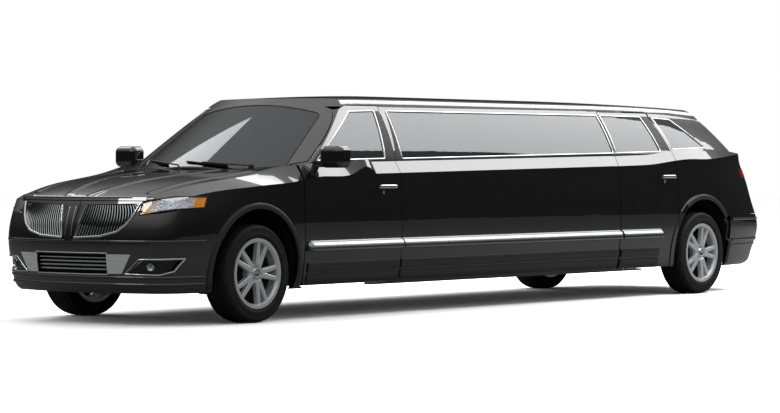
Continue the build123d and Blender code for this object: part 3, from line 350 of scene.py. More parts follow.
def lathe(profile, steps, centre, along=(0, 1, 0), across=FORWARD, up=UP, third=None):
    """A closed (radius, reach) profile turned about an axle through centre.

    across and up span its circle. third is the profile at every third step.
    """
    verts = []
    for i in range(steps):
        turn = math.tau * i / steps
        spoke = Vector(across) * math.cos(turn) + Vector(up) * math.sin(turn)
        ring = third if third and i % 3 == 0 else profile
        verts += [Vector(centre) + spoke * radius + Vector(along) * reach for radius, reach in ring]
    return verts, skin(steps, len(profile), True)


def tube(path, radius, steps=14):
    """A round tube along points."""
    verts = []
    for i, place in enumerate(path):
        ahead = (path[min(i + 1, len(path) - 1)] - path[max(i - 1, 0)]).normalized()
        across = ahead.cross(Vector((0.013, 0.021, 1))).normalized()
        over = across.cross(ahead)
        for k in range(steps):
            turn = math.tau * k / steps
            verts.append(place + across * (radius * math.cos(turn)) + over * (radius * math.sin(turn)))
    return verts, skin(len(path), steps)


def smooth_path(points, steps=8):
    """Catmull-Rom points through a path."""
    points = [Vector(p) for p in points]
    out = []
    for i, (p1, p2) in enumerate(zip(points, points[1:])):
        p0 = points[i - 1] if i else p1 * 2 - p2
        p3 = points[i + 2] if i + 2 < len(points) else p2 * 2 - p1
        for k in range(steps):
            t = k / steps
            out.append(0.5 * (2 * p1 + (p2 - p0) * t + (2 * p0 - 5 * p1 + 4 * p2 - p3) * t * t
                              + (3 * p1 - p0 - 3 * p2 + p3) * t ** 3))
    return out + [points[-1]]


def thick_patch(place_at, columns, rows, thickness):
    """A plate over a grid of shares, from a function that gives a point and a direction for (s, t)."""
    laid = [place_at(i / (columns - 1), j / (rows - 1)) for i in range(columns) for j in range(rows)]
    verts, faces, count = [p + out * level for level in (0.0, -thickness) for p, out in laid], [], len(laid)
    for i in range(columns - 1):
        for j in range(rows - 1):
            a = i * rows + j
            quad = [a, a + rows, a + rows + 1, a + 1]
            faces += [quad, [count + index for index in quad[::-1]]]
    rim = [i * rows for i in range(columns)] + [(columns - 1) * rows + j for j in range(1, rows)]
    rim += [i * rows + rows - 1 for i in range(columns - 2, -1, -1)] + list(range(rows - 2, 0, -1))
    faces += [[a, b, count + b, count + a] for a, b in zip(rim, rim[1:] + rim[:1])]
    return verts, faces


def rounded_box(low, high, radius, segments=3):
    """A box between two corners with its edges rounded."""
    work = bmesh.new()
    bmesh.ops.create_cube(work, size=1.0)
    for vert in work.verts:
        vert.co = Vector([(a + b) / 2 + c * (b - a) for a, b, c in zip(low, high, vert.co)])
    bmesh.ops.bevel(work, geom=work.edges[:], offset=radius, segments=segments, affect="EDGES", profile=0.5)
    work.verts.index_update()
    part = [v.co.copy() for v in work.verts], [[v.index for v in face.verts] for face in work.faces]
    work.free()
    return part


def mix(a, b, share):
    """The point at a share of the way from a to b."""
    return tuple(p + (q - p) * share for p, q in zip(a, b))


def along_path(points, share):
    """The point at this share of a path's length."""
    runs = [math.dist(a, b) for a, b in zip(points, points[1:])]
    goal = share * sum(runs)
    for (a, b), run in zip(zip(points, points[1:]), runs):
        if goal <= run or (a, b) == (points[-2], points[-1]):
            return mix(a, b, goal / run)
        goal -= run


def even_path(points, step, closed=False):
    """Points at even steps along a path of straight runs."""
    path = points + points[:1] if closed else points
    out = []
    for a, b in zip(path, path[1:]):
        count = max(1, round(math.dist(a, b) / step))
        out += [mix(a, b, k / count) for k in range(count)]
    return out if closed else out + [path[-1]]


# ---------------------------------------------------------------- laying pieces on the solids
def surface_tree(*nodes):
    """A tree of CAD nodes' faces, for laying pieces on them."""
    verts, faces = [], []
    for name in nodes:
        mesh, base = NODES[name].data, len(verts)
        verts += [v.co.copy() for v in mesh.vertices]
        faces += [[index + base for index in polygon.vertices] for polygon in mesh.polygons]
    return BVHTree.FromPolygons(verts, faces)


def met(tree, start, aim):
    """The point and normal where a line meets a surface, or a pair of None."""
    return tree.ray_cast(Vector(start), Vector(aim))[:2]


def nearest(tree, place):
    return tree.find_nearest(Vector(place))[:2]


def on_side(tree, x, z, side=1):
    """The point and normal where a line from the side meets the surface."""
    place, normal = met(tree, (x, side * 2.0, z), (0, -side, 0))
    if place is None or place.y * side < 0.3:
        place, normal = nearest(tree, (x, side * 0.9, z))
    return place, normal


def side_nodes(owner, side_name):
    """The CAD node and the body of a stretch of the side: a door, or the body with its fixed panel."""
    return ("side_panels", "body") if owner == "body" else (f"{owner}_{side_name}",) * 2


# The nose: height and reach ahead of the front axle on the centre line.
NOSE_LEVELS = [(0.235, 0.950), (0.330, 1.000), (0.460, 1.016), (0.620, 1.025), (0.740, 1.005),
               (0.880, 0.955), (1.020, 0.890)]
NOSE_BOW = 2.230


def nose_reach(z):
    for (z0, r0), (z1, r1) in zip(NOSE_LEVELS, NOSE_LEVELS[1:]):
        if z <= z1:
            return r0 + (r1 - r0) * (z - z0) / (z1 - z0)
    return NOSE_LEVELS[-1][1]


def nose_point(y, z, proud=0.0):
    """A point on the nose's bowed face, this far out of it, and the face's outward direction."""
    bow_x = math.sqrt(NOSE_BOW ** 2 - y ** 2)
    slope = (nose_reach(z + 0.02) - nose_reach(z - 0.02)) / 0.04
    out = Vector((1, y / bow_x, -slope)).normalized()
    return Vector((front(nose_reach(z) - (NOSE_BOW - bow_x)), y, z)) + out * proud, out


# ---------------------------------------------------------------- window surrounds
def outer_loop(node, side):
    """The outline of a pane's outer face, in order. side is +1 or -1, or 0 for a screen across the car."""
    work = bmesh.new()
    work.from_mesh(NODES[node].data)
    bmesh.ops.remove_doubles(work, verts=work.verts, dist=1e-5)
    work.normal_update()

    def faces_out(face):
        if side:
            return face.normal.y * side > 0.5 and face.calc_center_median().y * side > 0
        return face.normal.z > 0.2 and abs(face.normal.y) < 0.8

    patch = {face for face in work.faces if faces_out(face)}
    links = {}
    for edge in work.edges:
        if sum(face in patch for face in edge.link_faces) == 1:
            a, b = (vert.index for vert in edge.verts)
            links.setdefault(a, []).append(b)
            links.setdefault(b, []).append(a)
    work.verts.ensure_lookup_table()
    loops, used = [], set()
    for start in links:
        loop, here = [], start
        while here is not None and here not in used:
            used.add(here)
            loop.append(work.verts[here].co.copy())
            here = next((n for n in links[here] if n not in used), None)
        if loop:
            loops.append(loop)
    work.free()
    return max(loops, key=lambda l: sum((l[i] - l[i - 1]).length for i in range(len(l))))


def even_loop(points, step):
    """A closed path's points at even steps."""
    lengths = [(points[(i + 1) % len(points)] - p).length for i, p in enumerate(points)]
    count = max(12, int(sum(lengths) / step))
    out, i, passed = [], 0, 0.0
    for k in range(count):
        goal = sum(lengths) * k / count
        while passed + lengths[i] < goal:
            passed += lengths[i]
            i += 1
        t = (goal - passed) / max(lengths[i], 1e-9)
        out.append(points[i].lerp(points[(i + 1) % len(points)], t))
    return out


def surround(name, node, side, body, finish, width, height, lift=0.0045):
    """A crowned strip round a pane."""
    loop = even_loop(outer_loop(node, side), 0.02)
    middle = sum(loop, Vector()) / len(loop)
    out = Vector((0, side, 0.35)) if side else Vector((1 if middle.x > 0 else -1, 0, 1))
    out = out.normalized()
    strip = sweep([(p + out * lift, out) for p in loop], half_round(width, height, sink=0.006), True)
    put(name, strip, finish, body)


TRIM_WIDE, QUARTER_TRIM_WIDE, TRIM_HIGH, SEAL_HIGH = 0.014, 0.016, 0.004, 0.003
for side_name, side in SIDES:
    for end in ("front", "rear"):
        surround(f"{end}_door_window_trim_{side_name}", f"{end}_door_glass_{side_name}", side,
                 f"{end}_door_{side_name}", "bright_trim", TRIM_WIDE, TRIM_HIGH)
    for name, wide in (("side", TRIM_WIDE), ("quarter", QUARTER_TRIM_WIDE)):
        label = "long" if name == "side" else name
        surround(f"{label}_window_trim_{side_name}", f"{name}_glass", side, "body", "bright_trim", wide,
                 TRIM_HIGH)
surround("windscreen_seal", "windscreen", 0, "body", "cabin_plastic", 0.022, SEAL_HIGH)
surround("liftgate_window_seal", "liftgate_glass", 0, "liftgate", "cabin_plastic", 0.020, SEAL_HIGH)

# ---------------------------------------------------------------- along the sides
# (height, how far it stands out) down each ribbon's outer face
MOULDING_FACE = [(0.592, 0.001), (0.588, 0.008), (0.577, 0.017), (0.562, 0.024), (0.546, 0.028),
                 (0.530, 0.029), (0.518, 0.026), (0.512, 0.016), (0.511, 0.001)]
ROCKER_FACE = [(0.430, 0.000), (0.427, 0.006), (0.415, 0.011), (0.395, 0.014), (0.372, 0.014),
               (0.358, 0.011), (0.355, 0.000)]
SILL_FACE = [(0.348, 0.000), (0.344, 0.005), (0.325, 0.009), (0.300, 0.010), (0.275, 0.007), (0.262, 0.000)]
RIBBON_END, RIBBON_TIP, RIBBON_SINK = 0.05, 0.12, 0.0005


def side_ribbon(face, x0, x1, side, tree, round_rear=False, round_front=False):
    """A ribbon on the car's side, each free end drawn in to a rounded point."""
    stations = sorted({x0 + (x1 - x0) * k / 48 for k in range(49)}
                      | {x for k in range(9) for x in (x1 - RIBBON_END * k / 8, x0 + RIBBON_END * k / 8)})
    middle = (face[0][0] + face[-1][0]) / 2
    verts = []
    for x in stations:
        share = 1.0
        for rounded, past in ((round_front, x - x1 + RIBBON_END), (round_rear, x0 + RIBBON_END - x)):
            if rounded and past > 0:
                share = min(share, math.sqrt(max(0.0, 1 - (past / RIBBON_END) ** 2)))
        share = max(share, RIBBON_TIP)
        for z, proud in face:
            height = middle + (z - middle) * share
            y = on_side(tree, x, height, side)[0].y + side * (proud * share - RIBBON_SINK)
            verts.append(Vector((x, y, height)))
    return verts, skin(len(stations), len(face))


# owner: rear and front end of the moulding, of the rocker, and which ends of the moulding are rounded
SPANS = {
    "front_door": ((front(-1.684), front(-0.556)), (front(-1.678), front(-0.572)), (False, True)),
    "body": ((rear(1.325), front(-1.696)), (rear(1.330), front(-1.705)), (False, False)),
    "rear_door": ((rear(0.655), rear(1.295)), (rear(0.700), rear(1.285)), (True, False)),
}


def moulding_and_rocker(owner, side_name, side):
    """The moulding, whose grey metal is a painted highlight for light caught on a body-coloured ledge, and the
    stepped rocker under it, on one stretch of the side.
    """
    moulding, rocker, ends = SPANS[owner]
    tree = surface_tree(side_nodes(owner, side_name)[0])
    steps = [side_ribbon(face, *rocker, side, tree) for face in (ROCKER_FACE, SILL_FACE)]
    return side_ribbon(MOULDING_FACE, *moulding, side, tree, *ends), joined(steps)


for side_name, side in SIDES:
    ribbons = {owner: moulding_and_rocker(owner, side_name, side) for owner in SPANS}
    for place, (label, finish) in enumerate((("side_moulding", "moulding"), ("rocker", "cladding"))):
        for owner, pair in ribbons.items():
            put(f"{label}_{owner}_{side_name}", pair[place], finish, side_nodes(owner, side_name)[1])

# Lips round the wheel arches: the angles, in degrees, at which each starts and ends.
ARCH_CENTRE_Z, ARCH_LIP_RADIUS, ARCH_LIP_WIDE, ARCH_LIP_HIGH = AXLE_Z + 0.022, 0.478, 0.044, 0.007
ARCHES = [(FRONT_AXLE, surface_tree("front_fenders", "front_bumper"), -16, 196),
          (REAR_AXLE, surface_tree("quarter_panels", "rear_bumper", "side_panels"), 56, 196)]


def arch_lip(axle_x, tree, first, last, side):
    path = []
    for k in range(73):
        turn = math.radians(first + (last - first) * k / 72)
        x, z = axle_x + ARCH_LIP_RADIUS * math.cos(turn), ARCH_CENTRE_Z + ARCH_LIP_RADIUS * math.sin(turn)
        place = on_side(tree, x, z, side)[0]
        if abs(place.y) > 0.80:
            path.append((place + Vector((0, side * 0.001, 0)), Vector((0, side, 0.12))))
    return sweep(path, half_round(ARCH_LIP_WIDE, ARCH_LIP_HIGH, 8, 0.003))


for side_name, side in SIDES:
    put(f"arch_lips_{side_name}", joined([arch_lip(*arch, side) for arch in ARCHES]), "cladding")

# ---------------------------------------------------------------- the nose
BUMPER = surface_tree("front_bumper")


def on_nose(y, z, lift=0.0, tree=BUMPER):
    """The point of the nose at this width and height, lifted off it, and the outward direction."""
    place, normal = met(tree, (8, y, z), -FORWARD)
    if place is None:
        place, normal = nose_point(y, z)
    return place + normal * lift, normal


def nose_strip(path, step, width, height, lift=0.0, closed=False):
    """A crowned strip laid on the nose along (y, z) points."""
    laid = [on_nose(y, z, lift) for y, z in even_path(path, step, closed)]
    return sweep(laid, half_round(width, height), closed)


# A wing of the grille, as the bumper's opening has it, and the beak's leaning edge in it.
WING_LOW = [(0.062, 0.642), (0.300, 0.655), (0.440, 0.688), (0.508, 0.738), (0.548, 0.800), (0.578, 0.888)]
WING_HIGH = [(0.062, 0.874), (0.578, 0.888)]
BEAK_EDGE = [(0.066, 0.645), (0.120, 0.873)]
BEAK_FOOT_Y, BEAK_FOOT_Z, BEAK_TALL = 0.0585, 0.641, 0.2335
BAR_COUNT, BAR_WIDE, BAR_DEEP, BAR_FACE, BAR_BOW = 23, 0.0075, 0.020, -0.006, 0.020
BAR_SECTION = [(-BAR_WIDE / 2, -BAR_DEEP), (-BAR_WIDE / 2, -0.003), (0, 0), (BAR_WIDE / 2, -0.003),
               (BAR_WIDE / 2, -BAR_DEEP)]


def grille_bar(share):
    """A thin bar that leans and bows outwards, from the wing's lower edge to its top."""
    low = along_path([BEAK_EDGE[0]] + WING_LOW[1:], share * 0.90)
    high = along_path([BEAK_EDGE[1], WING_HIGH[1]], 0.01 + share * 0.98)
    path = []
    for k in range(13):
        y, z = mix(low, high, k / 12)
        path.append(nose_point(y + BAR_BOW * math.sin(math.pi * k / 12) * (0.4 + share), z, BAR_FACE))
    return sweep(path, BAR_SECTION)


def wing_backing():
    """The dark plate behind the bars: a strip of quads between the lower and the upper edge."""
    verts = []
    for k in range(25):
        low, high = along_path(WING_LOW, k / 24), along_path(WING_HIGH, k / 24)
        verts += [nose_point(*mix(low, high, j / 8), BAR_FACE - BAR_DEEP - 0.002)[0] for j in range(9)]
    return verts, [[a, a + 1, a + 10, a + 9] for k in range(24) for a in range(k * 9, k * 9 + 8)]


def beak_wedge(s, t):
    """The painted wedge between the beak and the leaning edge of a wing."""
    edge_y = BEAK_EDGE[0][0] + (BEAK_EDGE[1][0] - BEAK_EDGE[0][0]) * t
    return nose_point(BEAK_FOOT_Y + (edge_y - BEAK_FOOT_Y) * s, BEAK_FOOT_Z + BEAK_TALL * t, -0.001)


bars = joined([grille_bar(k / (BAR_COUNT - 1)) for k in range(BAR_COUNT)])
put("grille_bars", both(bars), "bright_trim", replaces="grille")
put("grille_backing", both(wing_backing()), "liner")
put("grille_beak_sides", both(thick_patch(beak_wedge, 5, 14, 0.02)), "body_paint")
wing_rim = [(0.060, 0.636)] + [(y, z - 0.006) for y, z in WING_LOW[1:-1]] + [(0.585, 0.890)]
edge_line = [nose_point(*along_path(BEAK_EDGE, k / 14), 0.001) for k in range(15)]
edge_strip = sweep(edge_line, half_round(0.009, 0.006))
put("grille_frame", both(nose_strip(wing_rim, 0.015, 0.018, 0.009, 0.001), edge_strip), "bright_trim")
beak_line = [on_nose(0.030, 0.650 + 0.21 * k / 14, 0.0005) for k in range(15)]
put("beak_rims", both(sweep(beak_line, half_round(0.007, 0.004))), "bright_trim")

# Lower intake: four bars over a dark duct, silver plates at both sides of it.
INTAKE_LOW, INTAKE_HIGH, INTAKE_HALF, INTAKE_BARS = 0.378, 0.520, 0.3445, 4
INTAKE_SECTION = [(-0.006, -0.020), (-0.0065, -0.004), (-0.003, 0), (0.003, 0), (0.0065, -0.004),
                  (0.006, -0.020)]


def intake_y(share):
    return -INTAKE_HALF + 2 * INTAKE_HALF * share


def intake_bar(level):
    z = INTAKE_LOW + (INTAKE_HIGH - INTAKE_LOW) / (INTAKE_BARS + 1) * level
    return sweep([nose_point(intake_y(k / 40), z, -0.014) for k in range(41)], INTAKE_SECTION)


def intake_side(s, t):
    """A silver plate beside the intake, narrower at its foot, with three shallow grooves."""
    groove = -0.0018 * max(0.0, math.cos(math.tau * (t * 4 - 0.5))) ** 6 if 0.1 < s < 0.75 else 0.0
    return on_nose(0.352 + s * (0.118 + 0.085 * t), 0.380 + 0.140 * t, 0.0035 + groove)


intake_bars = joined([intake_bar(k + 1) for k in range(INTAKE_BARS)])
put("intake_bars", intake_bars, "bright_trim", replaces="lower_grille")
put("intake_duct", thick_patch(lambda s, t: nose_point(intake_y(s), INTAKE_LOW + 0.001 + 0.140 * t, -0.045),
                               30, 6, 0.004), "liner")
put("intake_sides", both(thick_patch(intake_side, 16, 49, 0.006)), "alloy")
INTAKE_RIMS = ((0.352, 0.372), (0.362, 0.527))
rims = [nose_strip([(-half, z), (half, z)], 0.02, 0.010, 0.005) for half, z in INTAKE_RIMS]
put("intake_rims", joined(rims), "bright_trim")

# Fog lamps: a bright frame on the opening's edge, and a shallow bowl with a domed lens in front.
FOG_EDGE = [(0.492, 0.379), (0.748, 0.372), (0.818, 0.398), (0.857, 0.488), (0.616, 0.484)]
FOG_LAMP_Y, FOG_LAMP_Z, FOG_LAMP_RADIUS = 0.690, 0.432, 0.030
FOG_PROFILE = [(1.0, -0.004), (1.0, 0.006), (0.97, 0.010), (0.86, 0.011), (0.80, 0.006), (0.55, 0.001),
               (0.25, 0.0035), (0.02, 0.005), (0.0, 0.005), (0.0, -0.004)]


def fog_bowl():
    place, normal = on_nose(FOG_LAMP_Y, FOG_LAMP_Z, tree=surface_tree("fog_lamps"))
    across = UP.cross(normal).normalized()
    profile = [(share * FOG_LAMP_RADIUS, rise) for share, rise in FOG_PROFILE]
    return lathe(profile, 24, place, normal, across, normal.cross(across))


put("fog_frames", both(nose_strip(FOG_EDGE, 0.015, 0.012, 0.006, closed=True)), "bright_trim")
put("fog_bulbs", both(fog_bowl()), "bright_trim")


def strip_round(tree, facing, centre_x, z, limit_x, width, height):
    """A strip right round a bumper at a height, as far along the car as limit_x. facing is +1 in front."""
    path = []
    for k in range(-60, 61):
        turn = math.radians(88) * k / 60
        aim = Vector((facing * math.cos(turn), math.sin(turn), 0))
        place, normal = met(tree, Vector((centre_x, 0, z)) + aim * 3, -aim)
        if place is not None and (place.x - limit_x) * facing > 0 and abs(place.y) < 1.0:
            path.append((place, normal))
    return sweep(path, half_round(width, height))


# Height, front or rear limit, width and height of each strip round the bumpers.
NOSE_LIPS = [(0.352, front(0.50), 0.022, 0.008), (0.300, front(0.50), 0.026, 0.010)]
TAIL_LEDGES = [(0.655, rear(-0.49), 0.022, 0.008), (0.470, rear(-0.49), 0.030, 0.009),
               (0.425, rear(-0.49), 0.018, 0.006)]
put("bumper_lips", joined([strip_round(BUMPER, 1, front(0.10), *lip) for lip in NOSE_LIPS]), "body_paint")
put("bumper_crease", strip_round(BUMPER, 1, front(0.10), 0.612, front(0.53), 0.020, 0.004), "body_paint")

# ---------------------------------------------------------------- headlamps
LAMP = surface_tree("headlamps")
# The lamp's edges from its inner end to its rear end: (X ahead of the front axle, Y, Z).
LAMP_TOP = [(0.866, 0.597, 0.892), (0.800, 0.680, 0.912), (0.700, 0.770, 0.934), (0.600, 0.845, 0.935),
            (0.500, 0.900, 0.934)]
LAMP_FOOT = [(0.915, 0.597, 0.800), (0.830, 0.720, 0.826), (0.745, 0.800, 0.842), (0.640, 0.850, 0.849),
             (0.535, 0.905, 0.858)]
# Share along the lamp, share up it, and radius of each bowl.
BOWLS = [(0.20, 0.52, 0.100), (0.45, 0.50, 0.120), (0.68, 0.50, 0.085)]
AMBER_ENDS = (0.13, 0.82)
FLUTES, LAMP_DEEP, BOWL_DEEP, BULB_TALL = 45, 0.008, 0.018, 0.010


def lamp_point(s, t, depth):
    """A point in the lamp: s along it, t up it, this far under its outer surface."""
    share = min(max(s, 0.0), 1.0)
    foot, top = (Vector(along_path(edge, share)) for edge in (LAMP_FOOT, LAMP_TOP))
    guess = foot.lerp(top, t)
    guess.x += FRONT_AXLE
    aim = Vector((1, 0.25 + 1.3 * s, 0.15)).normalized()
    place, normal = met(LAMP, guess + aim * 0.5, -aim)
    if place is None:
        place, normal = nearest(LAMP, guess)
    return place - normal * depth, normal


def reflector_depth(s, t):
    """A shallow floor with three round bowls and a fluted amber box at each end."""
    if s < AMBER_ENDS[0] or s > AMBER_ENDS[1]:
        return LAMP_DEEP + 0.0015 * math.cos(math.tau * s * FLUTES)
    depth = LAMP_DEEP
    for centre, height, radius in BOWLS:
        away = math.hypot((s - centre) / radius, (t - height) / 0.46)
        if away < 1:
            bulb = BULB_TALL * (1 - away / 0.28) if away < 0.28 else 0
            depth = max(depth, LAMP_DEEP + BOWL_DEEP * (1 - away ** 2) - bulb)
    return depth


def lamp_grid(s0, s1, columns, rows):
    def place_at(s, t):
        share, inner = s0 + (s1 - s0) * s, 0.04 + 0.92 * t
        return lamp_point(share, inner, reflector_depth(share, inner))
    return thick_patch(place_at, columns, rows, 0.003)


put("headlamp_reflectors", both(lamp_grid(*AMBER_ENDS, 70, 18)), "lamp_reflector", replaces="headlamps")
put("headlamp_ambers", both(lamp_grid(0.0, AMBER_ENDS[0], 14, 12), lamp_grid(AMBER_ENDS[1], 1.0, 18, 12)),
    "amber_lens")
put("headlamp_lenses", both(thick_patch(lambda s, t: lamp_point(s, t, 0.0005), 40, 8, 0.003)), "lamp_glass")
rim_path = [(k / 30, 0.0) for k in range(30)] + [(1.0, t / 6) for t in range(6)]
rim_path += [(1 - s, 1 - t) for s, t in rim_path]
lamp_rim = sweep([lamp_point(s, t, -0.0005) for s, t in rim_path], half_round(0.010, 0.003), True)
put("headlamp_rims", both(lamp_rim), "cabin_plastic")
put("headlamp_housings", both(thick_patch(lambda s, t: lamp_point(s, t, 0.030), 40, 6, 0.002)), "liner")

# ---------------------------------------------------------------- pillar covers and handles
# owner, the axle that X counts from, and (X, Z) corners: rear foot, front foot, front top, rear top
PILLARS = [
    ("front_door", front, (-1.696, 1.225), (-1.592, 1.225), (-1.664, 1.578), (-1.764, 1.582)),
    ("body", front, (-1.775, 1.225), (-1.718, 1.225), (-1.790, 1.578), (-1.793, 1.582)),
    ("body", rear, (1.332, 1.262), (1.318, 1.262), (1.318, 1.570), (1.350, 1.570)),
    ("rear_door", rear, (1.292, 1.262), (1.304, 1.262), (1.340, 1.566), (1.292, 1.566)),
    ("rear_door", rear, (0.430, 1.275), (0.566, 1.275), (0.632, 1.562), (0.482, 1.562)),
]


def pillar_cover(corners, side, tree):
    a, b, c, d = corners

    def place_at(s, t):
        place, normal = on_side(tree, *mix(mix(a, b, s), mix(d, c, s), t), side)
        return place + normal * 0.0015, normal
    return thick_patch(place_at, 10, 24, 0.004)


for side_name, side in SIDES:
    for k, (owner, station, *corners) in enumerate(PILLARS):
        node, body = side_nodes(owner, side_name)
        cover = pillar_cover([(station(x), z) for x, z in corners], side, surface_tree(node))
        put(f"pillar_cover_{k}_{side_name}", cover, "pillar", body)

# Door handles: crowned bright grips on the CAD ones, each with a lock barrel under it.
GRIP_SECTION = [(-0.0150, -0.006), (-0.0150, 0.0), (-0.012, 0.004), (-0.006, 0.0062), (0.001, 0.0065),
                (0.008, 0.0055), (0.0135, 0.002), (0.0150, -0.006)]
LOCK_PROFILE = [(0.0, -0.004), (0.0125, -0.004), (0.0125, 0.0035), (0.0105, 0.0050), (0.006, 0.0052),
                (0.0, 0.0044)]
GRIP_INSET, GRIP_SAG, LOCK_AHEAD, LOCK_BELOW = 0.008, 0.004, 0.01, 0.044


def handle(end, side_name, side):
    low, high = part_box(f"{end}_handle_{side_name}")
    middle = [(a + b) / 2 for a, b in zip(low, high)]
    outer = high[1] if side > 0 else low[1]
    path = []
    for k in range(25):
        x = low[0] + GRIP_INSET + (high[0] - low[0] - 2 * GRIP_INSET) * k / 24
        sag = 0.001 + GRIP_SAG * (k / 12 - 1) ** 4
        path.append((Vector((x, outer - side * sag, middle[2])), Vector((0, side, 0))))
    section = GRIP_SECTION if side > 0 else [(-across, out) for across, out in reversed(GRIP_SECTION)]
    door = surface_tree(f"{end}_door_{side_name}")
    place = on_side(door, middle[0] + LOCK_AHEAD, middle[2] - LOCK_BELOW, side)[0]
    return joined([sweep(path, section), lathe(LOCK_PROFILE, 24, place, (0, side, 0))])


for side_name, side in SIDES:
    for end in ("front", "rear"):
        put(f"{end}_handle_grip_{side_name}", handle(end, side_name, side), "bright_trim",
            f"{end}_door_{side_name}")

# ---------------------------------------------------------------- wheels
TYRE_RADIUS, RIM_LIP = 0.364, 0.2605
GROOVES, GROOVE_HALF, GROOVE_DEEP = (-0.062, -0.021, 0.021, 0.062), 0.0045, 0.0075
# Half the sidewall, bead to shoulder: (radius past the rim's lip, distance from the tyre's middle).
SIDEWALL = [(-0.012, 0.098), (0.0015, 0.099), (0.004, 0.108), (0.010, 0.1165), (0.022, 0.1205),
            (0.026, 0.1222), (0.030, 0.1222), (0.033, 0.1210), (0.052, 0.1212), (0.070, 0.1185),
            (0.073, 0.1190), (0.077, 0.1180), (0.088, 0.1130), (0.0965, 0.1040), (0.1005, 0.092),
            (0.1025, 0.084)]
SIPE_DEEP, SHOULDER_SIPE_DEEP, SHOULDER_FROM = 0.0022, 0.005, 0.066


def tyre_profile():
    """(radius, along) round the tyre's section, from the inner bead over the tread to the outer bead."""
    half = [(RIM_LIP + radius, along) for radius, along in SIDEWALL]
    bottom = TYRE_RADIUS - GROOVE_DEEP
    crown = []
    for centre in GROOVES:
        crown += [(TYRE_RADIUS, centre - GROOVE_HALF - 0.0006), (bottom, centre - GROOVE_HALF + 0.001),
                  (bottom, centre + GROOVE_HALF - 0.001), (TYRE_RADIUS, centre + GROOVE_HALF + 0.0006)]
    return [(r, -y) for r, y in half] + crown + half[::-1]


def siped(radius, along):
    """The profile where a sipe crosses its shoulders and ribs."""
    if radius > TYRE_RADIUS - 0.0045 and abs(along) > SHOULDER_FROM:
        return radius - SHOULDER_SIPE_DEEP, along
    return (radius - SIPE_DEEP if radius >= TYRE_RADIUS - 0.0001 else radius), along


# Profiles of (radius, reach): the painted-shade ring's reach is out of the wheel's middle, the others' out of
# HUB_FACE.
# The spokes stand two by two: each is shifted by SPOKE_SHIFT degrees towards its neighbour.
HUB_FACE, SPOKE_FACE, LUG_CIRCLE = 0.093, 0.1031, 0.057
SPOKES, SPOKE_SHIFT, LUGS, LUG_FIRST = 10, 7, 5, 18
# A lug well's cup, finished near black as painted shade in the recess.
LUG_WELL = [(0.0, -0.012), (0.0145, -0.012), (0.0145, 0.0008), (0.0125, 0.0012), (0.0115, -0.006),
            (0.0, -0.0065)]
LUG_NUT = [(0.0, -0.012), (0.0078, -0.012), (0.0078, -0.0022), (0.0052, -0.0004), (0.0, 0.0)]
HUB_CAP = [(0.0, -0.004), (0.036, -0.004), (0.0365, 0.011), (0.033, 0.0145), (0.026, 0.0150),
           (0.024, 0.0135), (0.0, 0.0140)]
LIP_RING = [(0.2330, 0.0160), (0.2560, 0.0214), (0.2605, 0.0222), (0.2612, 0.0190), (0.2500, 0.0150),
            (0.2330, 0.0120)]
# A near-black disc behind the spokes, from hub to barrel: painted shade, so the gaps between the spokes fall
# dark.
PAINTED_SHADE_RING = [(0.074, 0.030), (0.150, 0.022), (0.2235, 0.030), (0.2235, 0.026), (0.150, 0.018),
              (0.074, 0.026)]
SPOKE_WIDTHS = [(0.062, 0.0185), (0.085, 0.0190), (0.130, 0.0165), (0.180, 0.0145), (0.222, 0.0150),
                (0.236, 0.0185)]
SPOKE_CROWN = [(-1.0, -0.004), (-1.0, 0.0), (-0.80, 0.0022), (-0.25, 0.0030), (0.25, 0.0030),
               (0.80, 0.0022), (1.0, 0.0), (1.0, -0.004)]


def spoke_face(centre, side, degrees):
    """A crowned machined face on one spoke."""
    turn = math.radians(degrees)
    outward = Vector((math.sin(turn), 0, math.cos(turn)))
    across = Vector((math.cos(turn), 0, -math.sin(turn)))
    verts = []
    for radius, half in SPOKE_WIDTHS:
        for share, rise in SPOKE_CROWN:
            rise_y = Vector((0, side * (SPOKE_FACE + rise), 0))
            verts.append(centre + outward * radius + across * (half * share) + rise_y)
    return verts, skin(len(SPOKE_WIDTHS), len(SPOKE_CROWN))


def add_wheel(end, side_name, side, axle_x):
    """The tread tyre, and what is laid on a rim: spoke faces, lug wells with nuts, a bare cap and the lip."""
    centre = Vector((axle_x, side * TRACK_Y, AXLE_Z))
    body, name = f"{end}_wheel_{side_name}", f"{end}_%s_{side_name}"
    out, face = (0, side, 0), centre + Vector((0, side * HUB_FACE, 0))
    profile = tyre_profile()
    tread = lathe(profile, 168, centre, third=[siped(*point) for point in profile])
    put(name % "tread_tyre", tread, "tyre", body, replaces=f"{end}_tyre_{side_name}", sharp=35)
    lugs = []
    for k in range(LUGS):
        turn = math.radians(360 / LUGS * k + LUG_FIRST)
        lugs.append(face + LUG_CIRCLE * Vector((math.cos(turn), 0, math.sin(turn))))
    # The lug wells take the near-black liner: painted shade in the recesses round the nuts.
    put(name % "lug_wells", joined([lathe(LUG_WELL, 18, lug, out) for lug in lugs]), "liner", body)
    bright = [lathe(LUG_NUT, 6, lug, out) for lug in lugs] + [lathe(HUB_CAP, 40, face, out)]
    put(name % "lug_nuts_and_cap", joined(bright), "bright_trim", body)
    put(name % "rim_lip", lathe(LIP_RING, 96, face, out), "alloy", body)
    turns = [360 / SPOKES * k + (SPOKE_SHIFT if k % 2 else -SPOKE_SHIFT) for k in range(SPOKES)]
    spokes = [spoke_face(centre, side, turn) for turn in turns]
    put(name % "spoke_faces", joined(spokes), "alloy", body)
    # The dark disc behind the spokes is painted shade inside the wheel, not a part of it.
    put(name % "wheel_shade", lathe(PAINTED_SHADE_RING, 64, centre, out), "liner", body)


for end, axle_x in (("front", FRONT_AXLE), ("rear", REAR_AXLE)):
    for side_name, side in SIDES:
        add_wheel(end, side_name, side, axle_x)

